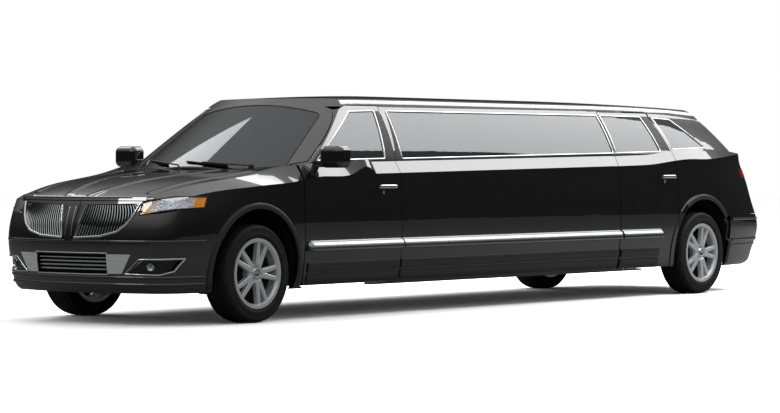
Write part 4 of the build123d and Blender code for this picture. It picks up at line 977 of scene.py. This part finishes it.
# ---------------------------------------------------------------- soft seats
PUFF_FRAMES, PUFF_PRESSURE, VOXEL, PUFF_CAP, PUFF_ROOM = 20, 4.0, 0.010, 0.014, 0.014
FLOOR_TOP, SEAT_BASE, BACK_LEAN = 0.300, 0.550, math.radians(76)
FACING_FORWARD, FACING_LEFT = Matrix.Identity(4), Matrix.Rotation(math.pi / 2, 4, "Z")
puffed = {}


def freeze(piece):
    """Applies a piece's modifiers to its mesh."""
    mesh = bpy.data.meshes.new_from_object(piece.evaluated_get(bpy.context.evaluated_depsgraph_get()))
    piece.modifiers.clear()
    old, piece.data = piece.data, mesh
    bpy.data.meshes.remove(old)


def crowned_block(size):
    """A block with a crowned top and bottom, its sides drawn in between the corners."""
    work = bmesh.new()
    bmesh.ops.create_cube(work, size=1.0)
    bmesh.ops.subdivide_edges(work, edges=work.edges, cuts=7, use_grid_fill=True)
    for vert in work.verts:
        x, y, z = (2 * c for c in vert.co)
        edge = max(abs(x), abs(y)) ** 6
        draw_in = 1 - 0.03 * (1 - max(abs(x), abs(y)) ** 2 * 0.5) - 0.05 * edge * z * z
        vert.co = Vector((vert.co.x * size[0] * draw_in, vert.co.y * size[1] * draw_in,
                          vert.co.z * size[2] * (0.92 + 0.08 * (1 - x * x) * (1 - y * y)) * (1 - 0.20 * edge)))
    return work


def puff(pad):
    """Blows a pad up by cloth pressure, by no more than PUFF_CAP anywhere."""
    start = [vert.co.copy() for vert in pad.data.vertices]
    cloth = pad.modifiers.new("cloth", "CLOTH")
    cloth.settings.use_pressure, cloth.settings.uniform_pressure_force = True, PUFF_PRESSURE
    cloth.settings.effector_weights.gravity = 0
    for step in range(1, PUFF_FRAMES + 1):
        bpy.context.scene.frame_set(step)
    freeze(pad)
    bpy.context.scene.frame_set(1)
    for vert, place in zip(pad.data.vertices, start):
        moved = vert.co - place
        if moved.length > PUFF_CAP:
            vert.co = place + moved.normalized() * PUFF_CAP


def sew(pad, half, channels):
    """Presses channels and a border seam into a pad's top, and keeps it inside its half sizes."""
    for vert in pad.data.vertices:
        x, y, z = vert.co
        if z > 0.2 * half[2]:
            margin = min(half[0] - abs(x), half[1] - abs(y))
            inside = min(1.0, max(0.0, (margin - 0.03) / 0.02))
            ridge = abs(math.sin(math.pi * channels * (y / (2 * half[1]) + 0.5)))
            seam = max(0.0, 1 - abs(margin - 0.035) / 0.012)
            vert.co.z -= 0.014 * inside * (1 - ridge) ** 2 + 0.006 * seam
        vert.co = Vector([max(-h, min(h, c)) for c, h in zip(vert.co, half)])


def puffed_mesh(size, channels):
    """A pad's mesh: remeshed, blown up, then sewn. Pads of one size share one simulation."""
    if (size, channels) not in puffed:
        work = crowned_block([side - PUFF_ROOM for side in size])
        mesh = bpy.data.meshes.new("pad")
        work.to_mesh(mesh)
        work.free()
        pad = bpy.data.objects.new("pad_work", mesh)
        bpy.context.scene.collection.objects.link(pad)
        remesh = pad.modifiers.new("remesh", "REMESH")
        remesh.mode, remesh.voxel_size = "VOXEL", VOXEL
        freeze(pad)
        puff(pad)
        sew(pad, [side / 2 for side in size], channels)
        puffed[(size, channels)] = pad.data.copy()
        bpy.data.objects.remove(pad)
    return puffed[(size, channels)].copy()


def cushion(name, size, place, turn, channels, replaces=None):
    mesh = puffed_mesh(size, channels)
    mesh.transform(Matrix.Translation(Vector(place)) @ turn)
    mesh.materials.clear()
    mesh.materials.append(FINISH["leather"])
    for polygon in mesh.polygons:
        polygon.use_smooth = True
    piece = bpy.data.objects.new(name, mesh)
    bpy.context.scene.collection.objects.link(piece)
    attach(piece, "body")
    if replaces:
        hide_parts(replaces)


# A seat's pads: their sizes less a seam, and their places behind its front edge and above its base.
SEAM, CUSHION_LONG, CUSHION_THICK, CUSHION_BEHIND, CUSHION_Z = 0.006, 0.515, 0.138, 0.260, 0.6205
LOW_BACK, HIGH_BACK, BACK_THICK, BACK_BEHIND, BACK_ABOVE = 0.600, 0.760, 0.118, 0.545, 0.008
BACK_UP, HEADREST, HEADREST_ABOVE = Vector((-0.190, 0, 0.760)).normalized(), (0.150, 0.270, 0.105), 0.090


def seat(name, x, y, width, channels, headrest, replaces=None):
    """A seat with its front edge at x: a padded cushion and a leaning back."""
    wide, tall = width - SEAM, LOW_BACK if headrest else HIGH_BACK
    cushion(f"{name}_cushion", (CUSHION_LONG, wide, CUSHION_THICK), (x - CUSHION_BEHIND, y, CUSHION_Z),
            FACING_FORWARD, channels, replaces=replaces)
    foot, facing = Vector((x - BACK_BEHIND, y, SEAT_BASE + BACK_ABOVE)), Matrix.Rotation(BACK_LEAN, 4, "Y")
    cushion(f"{name}_back", (tall, wide, BACK_THICK), foot + BACK_UP * (tall / 2), facing, channels)
    if headrest:
        cushion(f"{name}_headrest", HEADREST, foot + BACK_UP * (tall + HEADREST_ABOVE), facing, 1)


PLINTH_BEHIND, PLINTH_FRONT, PLINTH_INSET, ON_FLOOR = 0.460, 0.060, 0.04, FLOOR_TOP + 0.0005


def plinth(x, y, width):
    half = width / 2 - PLINTH_INSET
    return rounded_box((x - PLINTH_BEHIND, y - half, ON_FLOOR), (x - PLINTH_FRONT, y + half, SEAT_BASE), 0.012)


DRIVER_X, DRIVER_Y, DRIVER_WIDE = front(-0.880), 0.380, 0.520
REAR_SEAT_X, REAR_PITCH, REAR_WIDE = rear(1.180), 0.4134, 0.411
seat("driver_seat", DRIVER_X, DRIVER_Y, DRIVER_WIDE, 4, True, "front_seats")
seat("passenger_seat", DRIVER_X, -DRIVER_Y, DRIVER_WIDE, 4, True)
for k in range(3):
    seat(f"rear_seat_{k}", REAR_SEAT_X, (k - 1) * REAR_PITCH, REAR_WIDE, 3, False,
         None if k else "rear_bench")
plinths = [plinth(DRIVER_X, DRIVER_Y, DRIVER_WIDE), plinth(DRIVER_X, -DRIVER_Y, DRIVER_WIDE),
           plinth(REAR_SEAT_X, 0.0, 1.240)]
put("seat_plinths", joined(plinths), "trim_board")

# The long bench on the right: four places, padded seat and back, on a boarded plinth.
LOUNGE_TAIL, LOUNGE_NOSE, LOUNGE_PLACES = rear(1.500), front(-2.000), 4
LOUNGE_PITCH = (LOUNGE_NOSE - LOUNGE_TAIL) / LOUNGE_PLACES
LOUNGE_DEEP, LOUNGE_THICK, LOUNGE_SEAT_AT = 0.405, 0.155, (-0.4625, 0.6015)
LOUNGE_BACK_TALL, LOUNGE_BACK_THICK, LOUNGE_BACK_AT = 0.465, 0.106, (-0.7255, 0.9160)
LOUNGE_BACK_FACING = FACING_LEFT @ Matrix.Rotation(math.pi / 2, 4, "Y")
for k in range(LOUNGE_PLACES):
    x, wide = LOUNGE_TAIL + LOUNGE_PITCH * (k + 0.5), LOUNGE_PITCH - 0.004
    cushion(f"lounge_cushion_{k}", (LOUNGE_DEEP, wide, LOUNGE_THICK), (x, *LOUNGE_SEAT_AT), FACING_LEFT, 4,
            replaces=None if k else "lounge_bench")
    cushion(f"lounge_back_{k}", (LOUNGE_BACK_TALL, wide, LOUNGE_BACK_THICK), (x, *LOUNGE_BACK_AT),
            LOUNGE_BACK_FACING, 4)
board = rounded_box((LOUNGE_TAIL, -0.775, ON_FLOOR), (LOUNGE_NOSE, -0.275, 0.522), 0.015)
back_board = rounded_box((LOUNGE_TAIL, -0.7795, 0.50), (LOUNGE_NOSE, -0.680, 0.680), 0.010)
put("lounge_plinth", joined([board, back_board]), "trim_board")

# Carpet, and the dashboard's instrument hood, centre stack, console, blank screen and vents.
rug = rounded_box((rear(0.600), -0.640, FLOOR_TOP - 0.001), (front(-0.640), 0.640, FLOOR_TOP + 0.007),
                  0.003, 2)
put("cabin_carpet", rug, "carpet")
dials_hood = rounded_box((front(-0.900), 0.240, 1.040), (front(-0.700), 0.520, 1.118), 0.022, 4)
centre_stack = rounded_box((front(-0.915), -0.150, 0.780), (front(-0.860), 0.150, 1.010), 0.014, 3)
console = rounded_box((front(-1.330), -0.110, FLOOR_TOP), (front(-0.870), 0.110, 0.620), 0.030, 4)
put("dash_mouldings", joined([dials_hood, centre_stack, console]), "cabin_plastic")
screen = rounded_box((front(-0.9185), -0.105, 0.900), (front(-0.912), 0.105, 0.995), 0.003, 2)
put("dash_screen", screen, "pillar")


VENTS_Y, VENT_HALF, VENT_LOW, SLAT_STEP, SLAT_TALL = (-0.640, -0.200, 0.200, 0.640), 0.045, 0.930, 0.014, 0.004


def vent_slat(y, level):
    z = VENT_LOW + SLAT_STEP * level
    low, high = (front(-0.905), y - VENT_HALF, z), (front(-0.870), y + VENT_HALF, z + SLAT_TALL)
    return rounded_box(low, high, 0.0015, 1)


slats = [vent_slat(y, level) for y in VENTS_Y for level in range(5)]
put("dash_vents", joined(slats), "pillar")

# ---------------------------------------------------------------- tail
GATE, REAR_BUMPER = surface_tree("liftgate"), surface_tree("rear_bumper")


def on_tail(y, z, tree, lift=0.0):
    """The tail's surface at a width and height, met from behind."""
    place, normal = met(tree, (-8, y, z), FORWARD)
    if place is None:
        place, normal = nearest(tree, (rear(-1.2), y, z))
    return place + normal * lift, normal


def tail_plate(y0, y1, z0, z1, tree, proud, columns, rows, thickness=0.004):
    def place_at(s, t):
        return on_tail(y0 + (y1 - y0) * s, z0 + (z1 - z0) * t, tree, proud)
    return thick_patch(place_at, columns, rows, thickness)


def gate_strip(path, section, closed=False):
    return sweep([on_tail(y, z, GATE, 0.0005) for y, z in even_path(path, 0.02, closed)], section, closed)


ledges = [strip_round(REAR_BUMPER, -1, rear(-0.45), *ledge) for ledge in TAIL_LEDGES]
put("rear_bumper_ledges", joined(ledges), "body_paint")
put("rear_bumper_skirt", tail_plate(-0.60, 0.60, 0.285, 0.400, REAR_BUMPER, 0.004, 30, 10), "cladding")
reflectors = [tail_plate(y, y + 0.12, 0.520, 0.548, REAR_BUMPER, 0.004, 10, 4, 0.006) for y in (-0.66, 0.54)]
put("rear_reflectors", joined(reflectors), "red_lens")

# The gate: a bare plate in its frame, a bright blade over it, a release pad and a brake lamp at its head.
PLATE_HALF, PLATE_LOW, PLATE_HIGH, PLATE_RIM = 0.265, 0.760, 0.880, 0.007
rim_y, rim_low, rim_high = PLATE_HALF + PLATE_RIM, PLATE_LOW - PLATE_RIM, PLATE_HIGH + PLATE_RIM
plate_rim = [(-rim_y, rim_low), (rim_y, rim_low), (rim_y, rim_high), (-rim_y, rim_high)]
blank_plate = tail_plate(-PLATE_HALF, PLATE_HALF, PLATE_LOW, PLATE_HIGH, GATE, 0.006, 24, 8, 0.008)
put("blank_plate", blank_plate, "plate", "liftgate")
put("plate_frame", gate_strip(plate_rim, half_round(0.014, 0.011), True), "bright_trim", "liftgate")
# name, half length, height, section and finish of each strip across the gate
GATE_STRIPS = [("gate_blade", 0.500, 0.945, (0.030, 0.012), "bright_trim"),
               ("gate_release", 0.120, 0.915, (0.016, 0.008), "cabin_plastic"),
               ("high_brake_lamp", 0.200, 1.585, (0.022, 0.008), "red_lens")]
for name, half, z, size, finish in GATE_STRIPS:
    put(name, gate_strip([(-half, z), (half, z)], half_round(*size)), finish, "liftgate")

# Exhaust tips under the bumper's skirt, wider than they are tall.
TIP_PROFILE = [(0.041, -0.075), (0.0415, 0.075), (0.0385, 0.078), (0.0365, 0.075), (0.036, -0.075)]
tips = [lathe(TIP_PROFILE, 36, (rear(-1.085), y, 0.285), FORWARD, (0, 1.35, 0), (0, 0, 0.72))
        for y in (-0.520, 0.520)]
put("exhaust_tips", joined(tips), "bright_trim")


CHEEK_IN, CHEEK_WIDE, CHEEK_LOW, CHEEK_TALL, CHEEK_SWEEP, CHEEK_LEAN = 0.496, 0.212, 1.226, 0.262, 0.40, 1.15


def gate_cheek(side):
    """A plate on the gate that closes the opening between its window frame and the quarter panel."""
    def place_at(s, t):
        z = CHEEK_LOW + CHEEK_TALL * t
        y = CHEEK_IN + (CHEEK_WIDE - 0.012 * t) * s
        x = rear(-0.776 + CHEEK_SWEEP * (y - 0.55) + CHEEK_LEAN * (z - 1.25))
        return Vector((x, side * y, z)), Vector((-0.75, side * 0.3, 0.62)).normalized()
    return thick_patch(place_at, 10, 14, 0.004)


for side_name, side in SIDES:
    put(f"gate_cheek_{side_name}", gate_cheek(side), "body_paint", "liftgate")

# Ribs over the tail lamps, one of them clear.
TAIL_LAMPS, LAMP_RIBS, CLEAR_RIB, RIB_INSET = surface_tree("tail_lamps"), 6, 2, 0.014
RIB_FROM, RIB_LONG = 0.575, 0.20


def lamp_rib(side, level):
    low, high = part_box("tail_lamps")
    z = low[2] + RIB_INSET + (high[2] - low[2] - 2 * RIB_INSET) * level / (LAMP_RIBS - 1)
    laid = [met(TAIL_LAMPS, (-8, side * (RIB_FROM + RIB_LONG * k / 16), z), FORWARD) for k in range(17)]
    laid = [pair for pair in laid if pair[0] is not None]
    return sweep(laid, half_round(0.006, 0.003, 4, 0.001)) if len(laid) > 3 else ([], [])


ribs = {level: joined([lamp_rib(side, level) for side in (-1, 1)]) for level in range(LAMP_RIBS)}
clear_rib = ribs.pop(CLEAR_RIB)
put("tail_lamp_ribs", joined(ribs.values()), "red_lens", "liftgate")
# The clear rib takes the reflector finish, with its painted glow.
put("tail_lamp_clear_bars", clear_rib, "lamp_reflector", "liftgate")

# Red lamp corners on the quarter panels, seen from the side.
QUARTERS = surface_tree("quarter_panels")
CORNER_LOW, CORNER_TALL, CORNER_LONG, CORNER_INSET = 1.030, 0.075, 0.085, 0.006


def quarter_edge(z, side):
    """How far back the quarter panel reaches at a height."""
    x = rear(-1.30)
    while x < rear(0):
        place = met(QUARTERS, (x, side * 2.0, z), (0, -side, 0))[0]
        if place is not None and place.y * side > 0.55:
            return x
        x += 0.004
    return rear(-0.9)


def lamp_corner(side):
    edges = [quarter_edge(CORNER_LOW + CORNER_TALL * k / 9, side) for k in range(10)]

    def place_at(s, t):
        share = t + 0.12 * s * (0.5 - t)
        x = edges[min(9, max(0, round(share * 9)))] + CORNER_INSET + CORNER_LONG * s
        place, out = on_side(QUARTERS, x, CORNER_LOW + CORNER_TALL * share, side)
        return place + out * 0.005, out
    return thick_patch(place_at, 14, 10, 0.007)


for side_name, side in SIDES:
    put(f"tail_lamp_corner_{side_name}", lamp_corner(side), "red_lens")

# ---------------------------------------------------------------- wipers, mirrors and hood
ARM_SECTION = [(-0.007, -0.003), (-0.005, 0.004), (0.005, 0.004), (0.007, -0.003)]
BLADE_SECTION = [(-0.0015, -0.009), (-0.006, 0.0), (-0.003, 0.006), (0.003, 0.006), (0.006, 0.0),
                 (0.0015, -0.009)]
ARM_SHARE, BLADE_FROM = 0.72, 0.35


def add_wiper(name, nodes, facing, foot, tip, body):
    """An arm from its pivot to a blade on a screen. foot and tip are (y, z). facing is +1 in front."""
    tree = surface_tree(*nodes)

    def on_screen(share, lift):
        y, z = mix(foot, tip, share)
        place, normal = met(tree, (8 * facing, y, z), (-facing, 0, 0))
        if place is None:
            place, normal = nearest(tree, (front(-0.2) if facing > 0 else rear(-0.9), y, z))
        return place + normal * lift, normal

    steps = [k / 20 for k in range(21)]
    arm = [on_screen(ARM_SHARE * t, 0.026 - 0.008 * t) for t in steps]
    blade = [on_screen(BLADE_FROM + (1 - BLADE_FROM) * t, 0.008) for t in steps]
    pivot = arm[0][0]
    knob = rounded_box(pivot - Vector((0.018, 0.018, 0.030)), pivot + Vector((0.018, 0.018, 0.006)), 0.008, 2)
    put(name, joined([sweep(arm, ARM_SECTION), sweep(blade, BLADE_SECTION), knob]), "cabin_plastic", body)


SCREEN, BACK_GLASS = ("windscreen", "cowl", "hood"), ("liftgate_glass", "liftgate")
screen_foot, glass_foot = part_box("windscreen")[0][2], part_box("liftgate_glass")[0][2]
add_wiper("wiper_left", SCREEN, 1, (0.560, screen_foot + 0.030), (-0.080, screen_foot + 0.075), "body")
add_wiper("wiper_right", SCREEN, 1, (-0.060, screen_foot + 0.030), (-0.620, screen_foot + 0.085), "body")
add_wiper("rear_wiper", BACK_GLASS, -1, (0.0, glass_foot + 0.030), (-0.330, glass_foot + 0.120), "liftgate")

MIRROR_Y, MIRROR_HALF = 1.060, 0.092
for side_name, side in SIDES:
    low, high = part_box(f"mirror_{side_name}")
    pane = rounded_box((low[0] - 0.0012, side * MIRROR_Y - MIRROR_HALF, high[2] - 0.148),
                       (low[0] + 0.004, side * MIRROR_Y + MIRROR_HALF, high[2] - 0.020), 0.0022, 2)
    put(f"mirror_pane_{side_name}", pane, "mirror", f"front_door_{side_name}")

HOOD = surface_tree("hood")
# Each crease: (distance ahead of the front axle, y) points, width and height.
HOOD_CREASES = [
    ([(0.945, 0.105), (0.70, 0.175), (0.30, 0.250), (-0.10, 0.310), (-0.245, 0.335)], 0.110, 0.0065),
    ([(0.780, 0.565), (0.50, 0.600), (0.15, 0.630), (-0.240, 0.655)], 0.070, 0.0050),
]


def on_hood(points, section):
    """A strip laid on the hood along (x, y) points, where they meet it."""
    laid = [met(HOOD, (x, y, 3), -UP) for x, y in points]
    return sweep([pair for pair in laid if pair[0] is not None], section)


def hood_ridge(path, side, width, height):
    """A soft raised crease."""
    crown = [(-width / 2 + width * k / 10, height * math.sin(math.pi * k / 10) ** 2) for k in range(11)]
    points = smooth_path([(x, side * y, 0) for x, y in path], 10)
    return on_hood([(front(p.x), p.y) for p in points],
                   [(-width / 2, -0.003)] + crown + [(width / 2, -0.003)])


ridges = [hood_ridge(path, side, *size) for side in (-1, 1) for path, *size in HOOD_CREASES]
put("hood_creases", joined(ridges), "body_paint", "hood", sharp=60)
lip_y = [-0.50 + k / 40 for k in range(41)]
hood_lip = on_hood([(front(0.930) - 0.06 * (y / 0.52) ** 2, y) for y in lip_y],
                   half_round(0.020, 0.004, 6, 0.002))
put("hood_lip", hood_lip, "body_paint", "hood")


# ---------------------------------------------------------------- engine bay
def engine_box(x0, x1, y0, y1, z0, z1, radius):
    return rounded_box((front(x0), y0, z0), (front(x1), y1, z1), radius)


# (y, z) points of an intake runner, (X ahead of the front axle, y, z) points of the hose, and the pulleys.
RUNNER = [(0.300, 0.690), (0.312, 0.740), (0.300, 0.800), (0.255, 0.838), (0.180, 0.845)]
HOSE = [(0.20, -0.20, 0.850), (0.30, -0.26, 0.850), (0.38, -0.33, 0.80), (0.41, -0.38, 0.74)]
PULLEYS = [(0.0, 0.560, 0.075), (-0.170, 0.700, 0.055), (0.165, 0.690, 0.060), (0.0, 0.760, 0.045)]
OIL_CAP = [(0.001, 0.0), (0.030, 0.0), (0.030, 0.014), (0.022, 0.018), (0.001, 0.018)]
castings = [engine_box(-0.285, 0.300, -0.200, 0.200, 0.455, 0.790, 0.030),
            engine_box(-0.270, 0.285, -0.305, -0.130, 0.640, 0.815, 0.030),
            engine_box(-0.270, 0.285, 0.130, 0.305, 0.640, 0.815, 0.030)]
for side in (-1, 1):
    for x in (front(-0.19), front(-0.01), front(0.17)):
        castings.append(tube([Vector((x, side * y, z)) for y, z in RUNNER], 0.028))
put("engine_castings", joined(castings), "alloy", replaces="engine_block")


def pulley(y, z, radius):
    groove = radius - 0.006
    profile = [(0.012, -0.014), (radius, -0.014), (groove, -0.006), (groove, 0.006), (radius, 0.014),
               (0.012, 0.014)]
    return lathe(profile, 36, (front(0.372), y, z), FORWARD, (0, 1, 0))


covers = [engine_box(-0.265, 0.265, -0.215, 0.215, 0.815, 0.882, 0.030),
          engine_box(0.315, 0.345, -0.235, 0.235, 0.520, 0.840, 0.012)]
for k in range(7):
    y = -0.165 + 0.055 * k
    covers.append(engine_box(-0.225, 0.225, y - 0.010, y + 0.010, 0.872, 0.893, 0.006))
hose = tube(smooth_path([(front(x), y, z) for x, y, z in HOSE]), 0.034, 20)
put("engine_covers", joined(covers + [pulley(*place) for place in PULLEYS] + [hose]), "cabin_plastic")
put("oil_cap", lathe(OIL_CAP, 28, (front(0.20), 0.245, 0.815), UP, FORWARD, (0, 1, 0)), "liner")

# ---------------------------------------------------------------- camera, light and floor
CAMERA_PLACE = (front(16.7422), 15.4683, 1.2392)
CAMERA_YAW, CAMERA_PITCH, LENS_MM = -2.4707, -0.01723, 139.05
AMBIENT, FLOOR_BOUNCE, FLOOR_SEEN, FLOOR_HALF = 0.45, 0.22, 2.2, 60
SKY_STOPS = [(0.0, 0.02), (0.12, 0.03), (0.30, 0.08), (0.55, 0.45), (0.9, 0.7)]
# name, place, aim, size, power in watts
SOFTBOXES = [
    ("side_box", (-8.2, 3.4, 6.1), (-8.2, 0.9, 4.9), (11.5, 4.0), 480),
    ("top_box", (-6.3, -1.0, 6.0), (-6.3, -1.0, 0.0), (11.6, 3.2), 360),
    ("screen_box", (0.8, -6.6, 6.0), (1.6, 0.0, 1.3), (3.4, 3.6), 90),
    ("nose_box", (9.5, -2.0, 5.5), (3.8, 0.0, 0.9), (2, 1), 40),
]


def grey(level):
    return (level, level, level, 1)


def turned_to(direction):
    return Vector(direction).to_track_quat("-Z", "Y").to_euler()


def make_camera():
    camera = bpy.data.objects.new("camera", bpy.data.cameras.new("camera"))
    camera.data.lens, camera.data.sensor_width, camera.data.sensor_fit = LENS_MM, 36.0, "HORIZONTAL"
    camera.data.clip_end = 200
    camera.location = CAMERA_PLACE
    level = math.cos(CAMERA_PITCH)
    aim = (math.cos(CAMERA_YAW) * level, math.sin(CAMERA_YAW) * level, math.sin(CAMERA_PITCH))
    camera.rotation_euler = turned_to(aim)
    bpy.context.scene.collection.objects.link(camera)
    bpy.context.scene.camera = camera


def area_light(name, place, aim, size, power):
    light = bpy.data.lights.new(name, "AREA")
    light.shape, light.size, light.size_y, light.energy = "RECTANGLE", *size, power
    lamp = bpy.data.objects.new(name, light)
    lamp.location = place
    lamp.rotation_euler = turned_to(Vector(aim) - Vector(place))
    bpy.context.scene.collection.objects.link(lamp)
    lamp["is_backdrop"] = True


def make_world():
    """White to the camera, even light on matt surfaces, and a studio with a dark horizon in glossy ones."""
    world = bpy.data.worlds.new("studio")
    world.use_nodes = True
    tree = world.node_tree
    split, gradient = add_node(tree, "SeparateXYZ"), add_node(tree, "ValToRGB")
    tree.links.new(add_node(tree, "TexCoord").outputs["Generated"], split.inputs["Vector"])
    tree.links.new(split.outputs["Z"], gradient.inputs["Fac"])
    elements = gradient.color_ramp.elements
    while len(elements) < len(SKY_STOPS):
        elements.new(0.5)
    for element, (position, value) in zip(elements, SKY_STOPS):
        element.position, element.color = position, grey(value)
    ray = add_node(tree, "LightPath")
    glossy, seen = add_node(tree, "MixRGB", Color1=grey(AMBIENT)), add_node(tree, "MixRGB", Color2=grey(1.0))
    tree.links.new(ray.outputs["Is Glossy Ray"], glossy.inputs["Fac"])
    tree.links.new(gradient.outputs["Color"], glossy.inputs["Color2"])
    tree.links.new(ray.outputs["Is Camera Ray"], seen.inputs["Fac"])
    tree.links.new(glossy.outputs["Color"], seen.inputs["Color1"])
    tree.links.new(seen.outputs["Color"], tree.nodes["Background"].inputs["Color"])
    bpy.context.scene.world = world


def floor_material():
    """Matt floor: white to the camera where no shadow falls, plain grey in reflections and as a bounce."""
    material = bpy.data.materials.new("floor")
    material.use_nodes = True
    tree = material.node_tree
    tree.nodes.remove(shader(material))
    pick = add_node(tree, "MixShader")
    tree.links.new(add_node(tree, "LightPath").outputs["Is Camera Ray"], pick.inputs["Fac"])
    for place, level in ((1, FLOOR_BOUNCE), (2, FLOOR_SEEN)):
        tree.links.new(add_node(tree, "BsdfDiffuse", Color=grey(level)).outputs["BSDF"], pick.inputs[place])
    tree.links.new(pick.outputs["Shader"], tree.nodes["Material Output"].inputs["Surface"])
    return material


def make_floor():
    mesh = bpy.data.meshes.new("floor")
    corners = [(-FLOOR_HALF, -FLOOR_HALF, 0), (FLOOR_HALF, -FLOOR_HALF, 0), (FLOOR_HALF, FLOOR_HALF, 0),
               (-FLOOR_HALF, FLOOR_HALF, 0)]
    mesh.from_pydata(corners, [], [(0, 1, 2, 3)])
    mesh.materials.append(floor_material())
    plane = bpy.data.objects.new("floor", mesh)
    bpy.context.scene.collection.objects.link(plane)
    plane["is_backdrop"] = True


make_camera()
make_world()
make_floor()
for softbox in SOFTBOXES:
    area_light(*softbox)
bpy.context.scene.view_settings.view_transform = "Standard"


# ---------------------------------------------------------------- sizes and the end
def corners(box):
    return [list(corner) for corner in box]


{"cad": corners(cad_box), "visual": corners(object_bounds())}
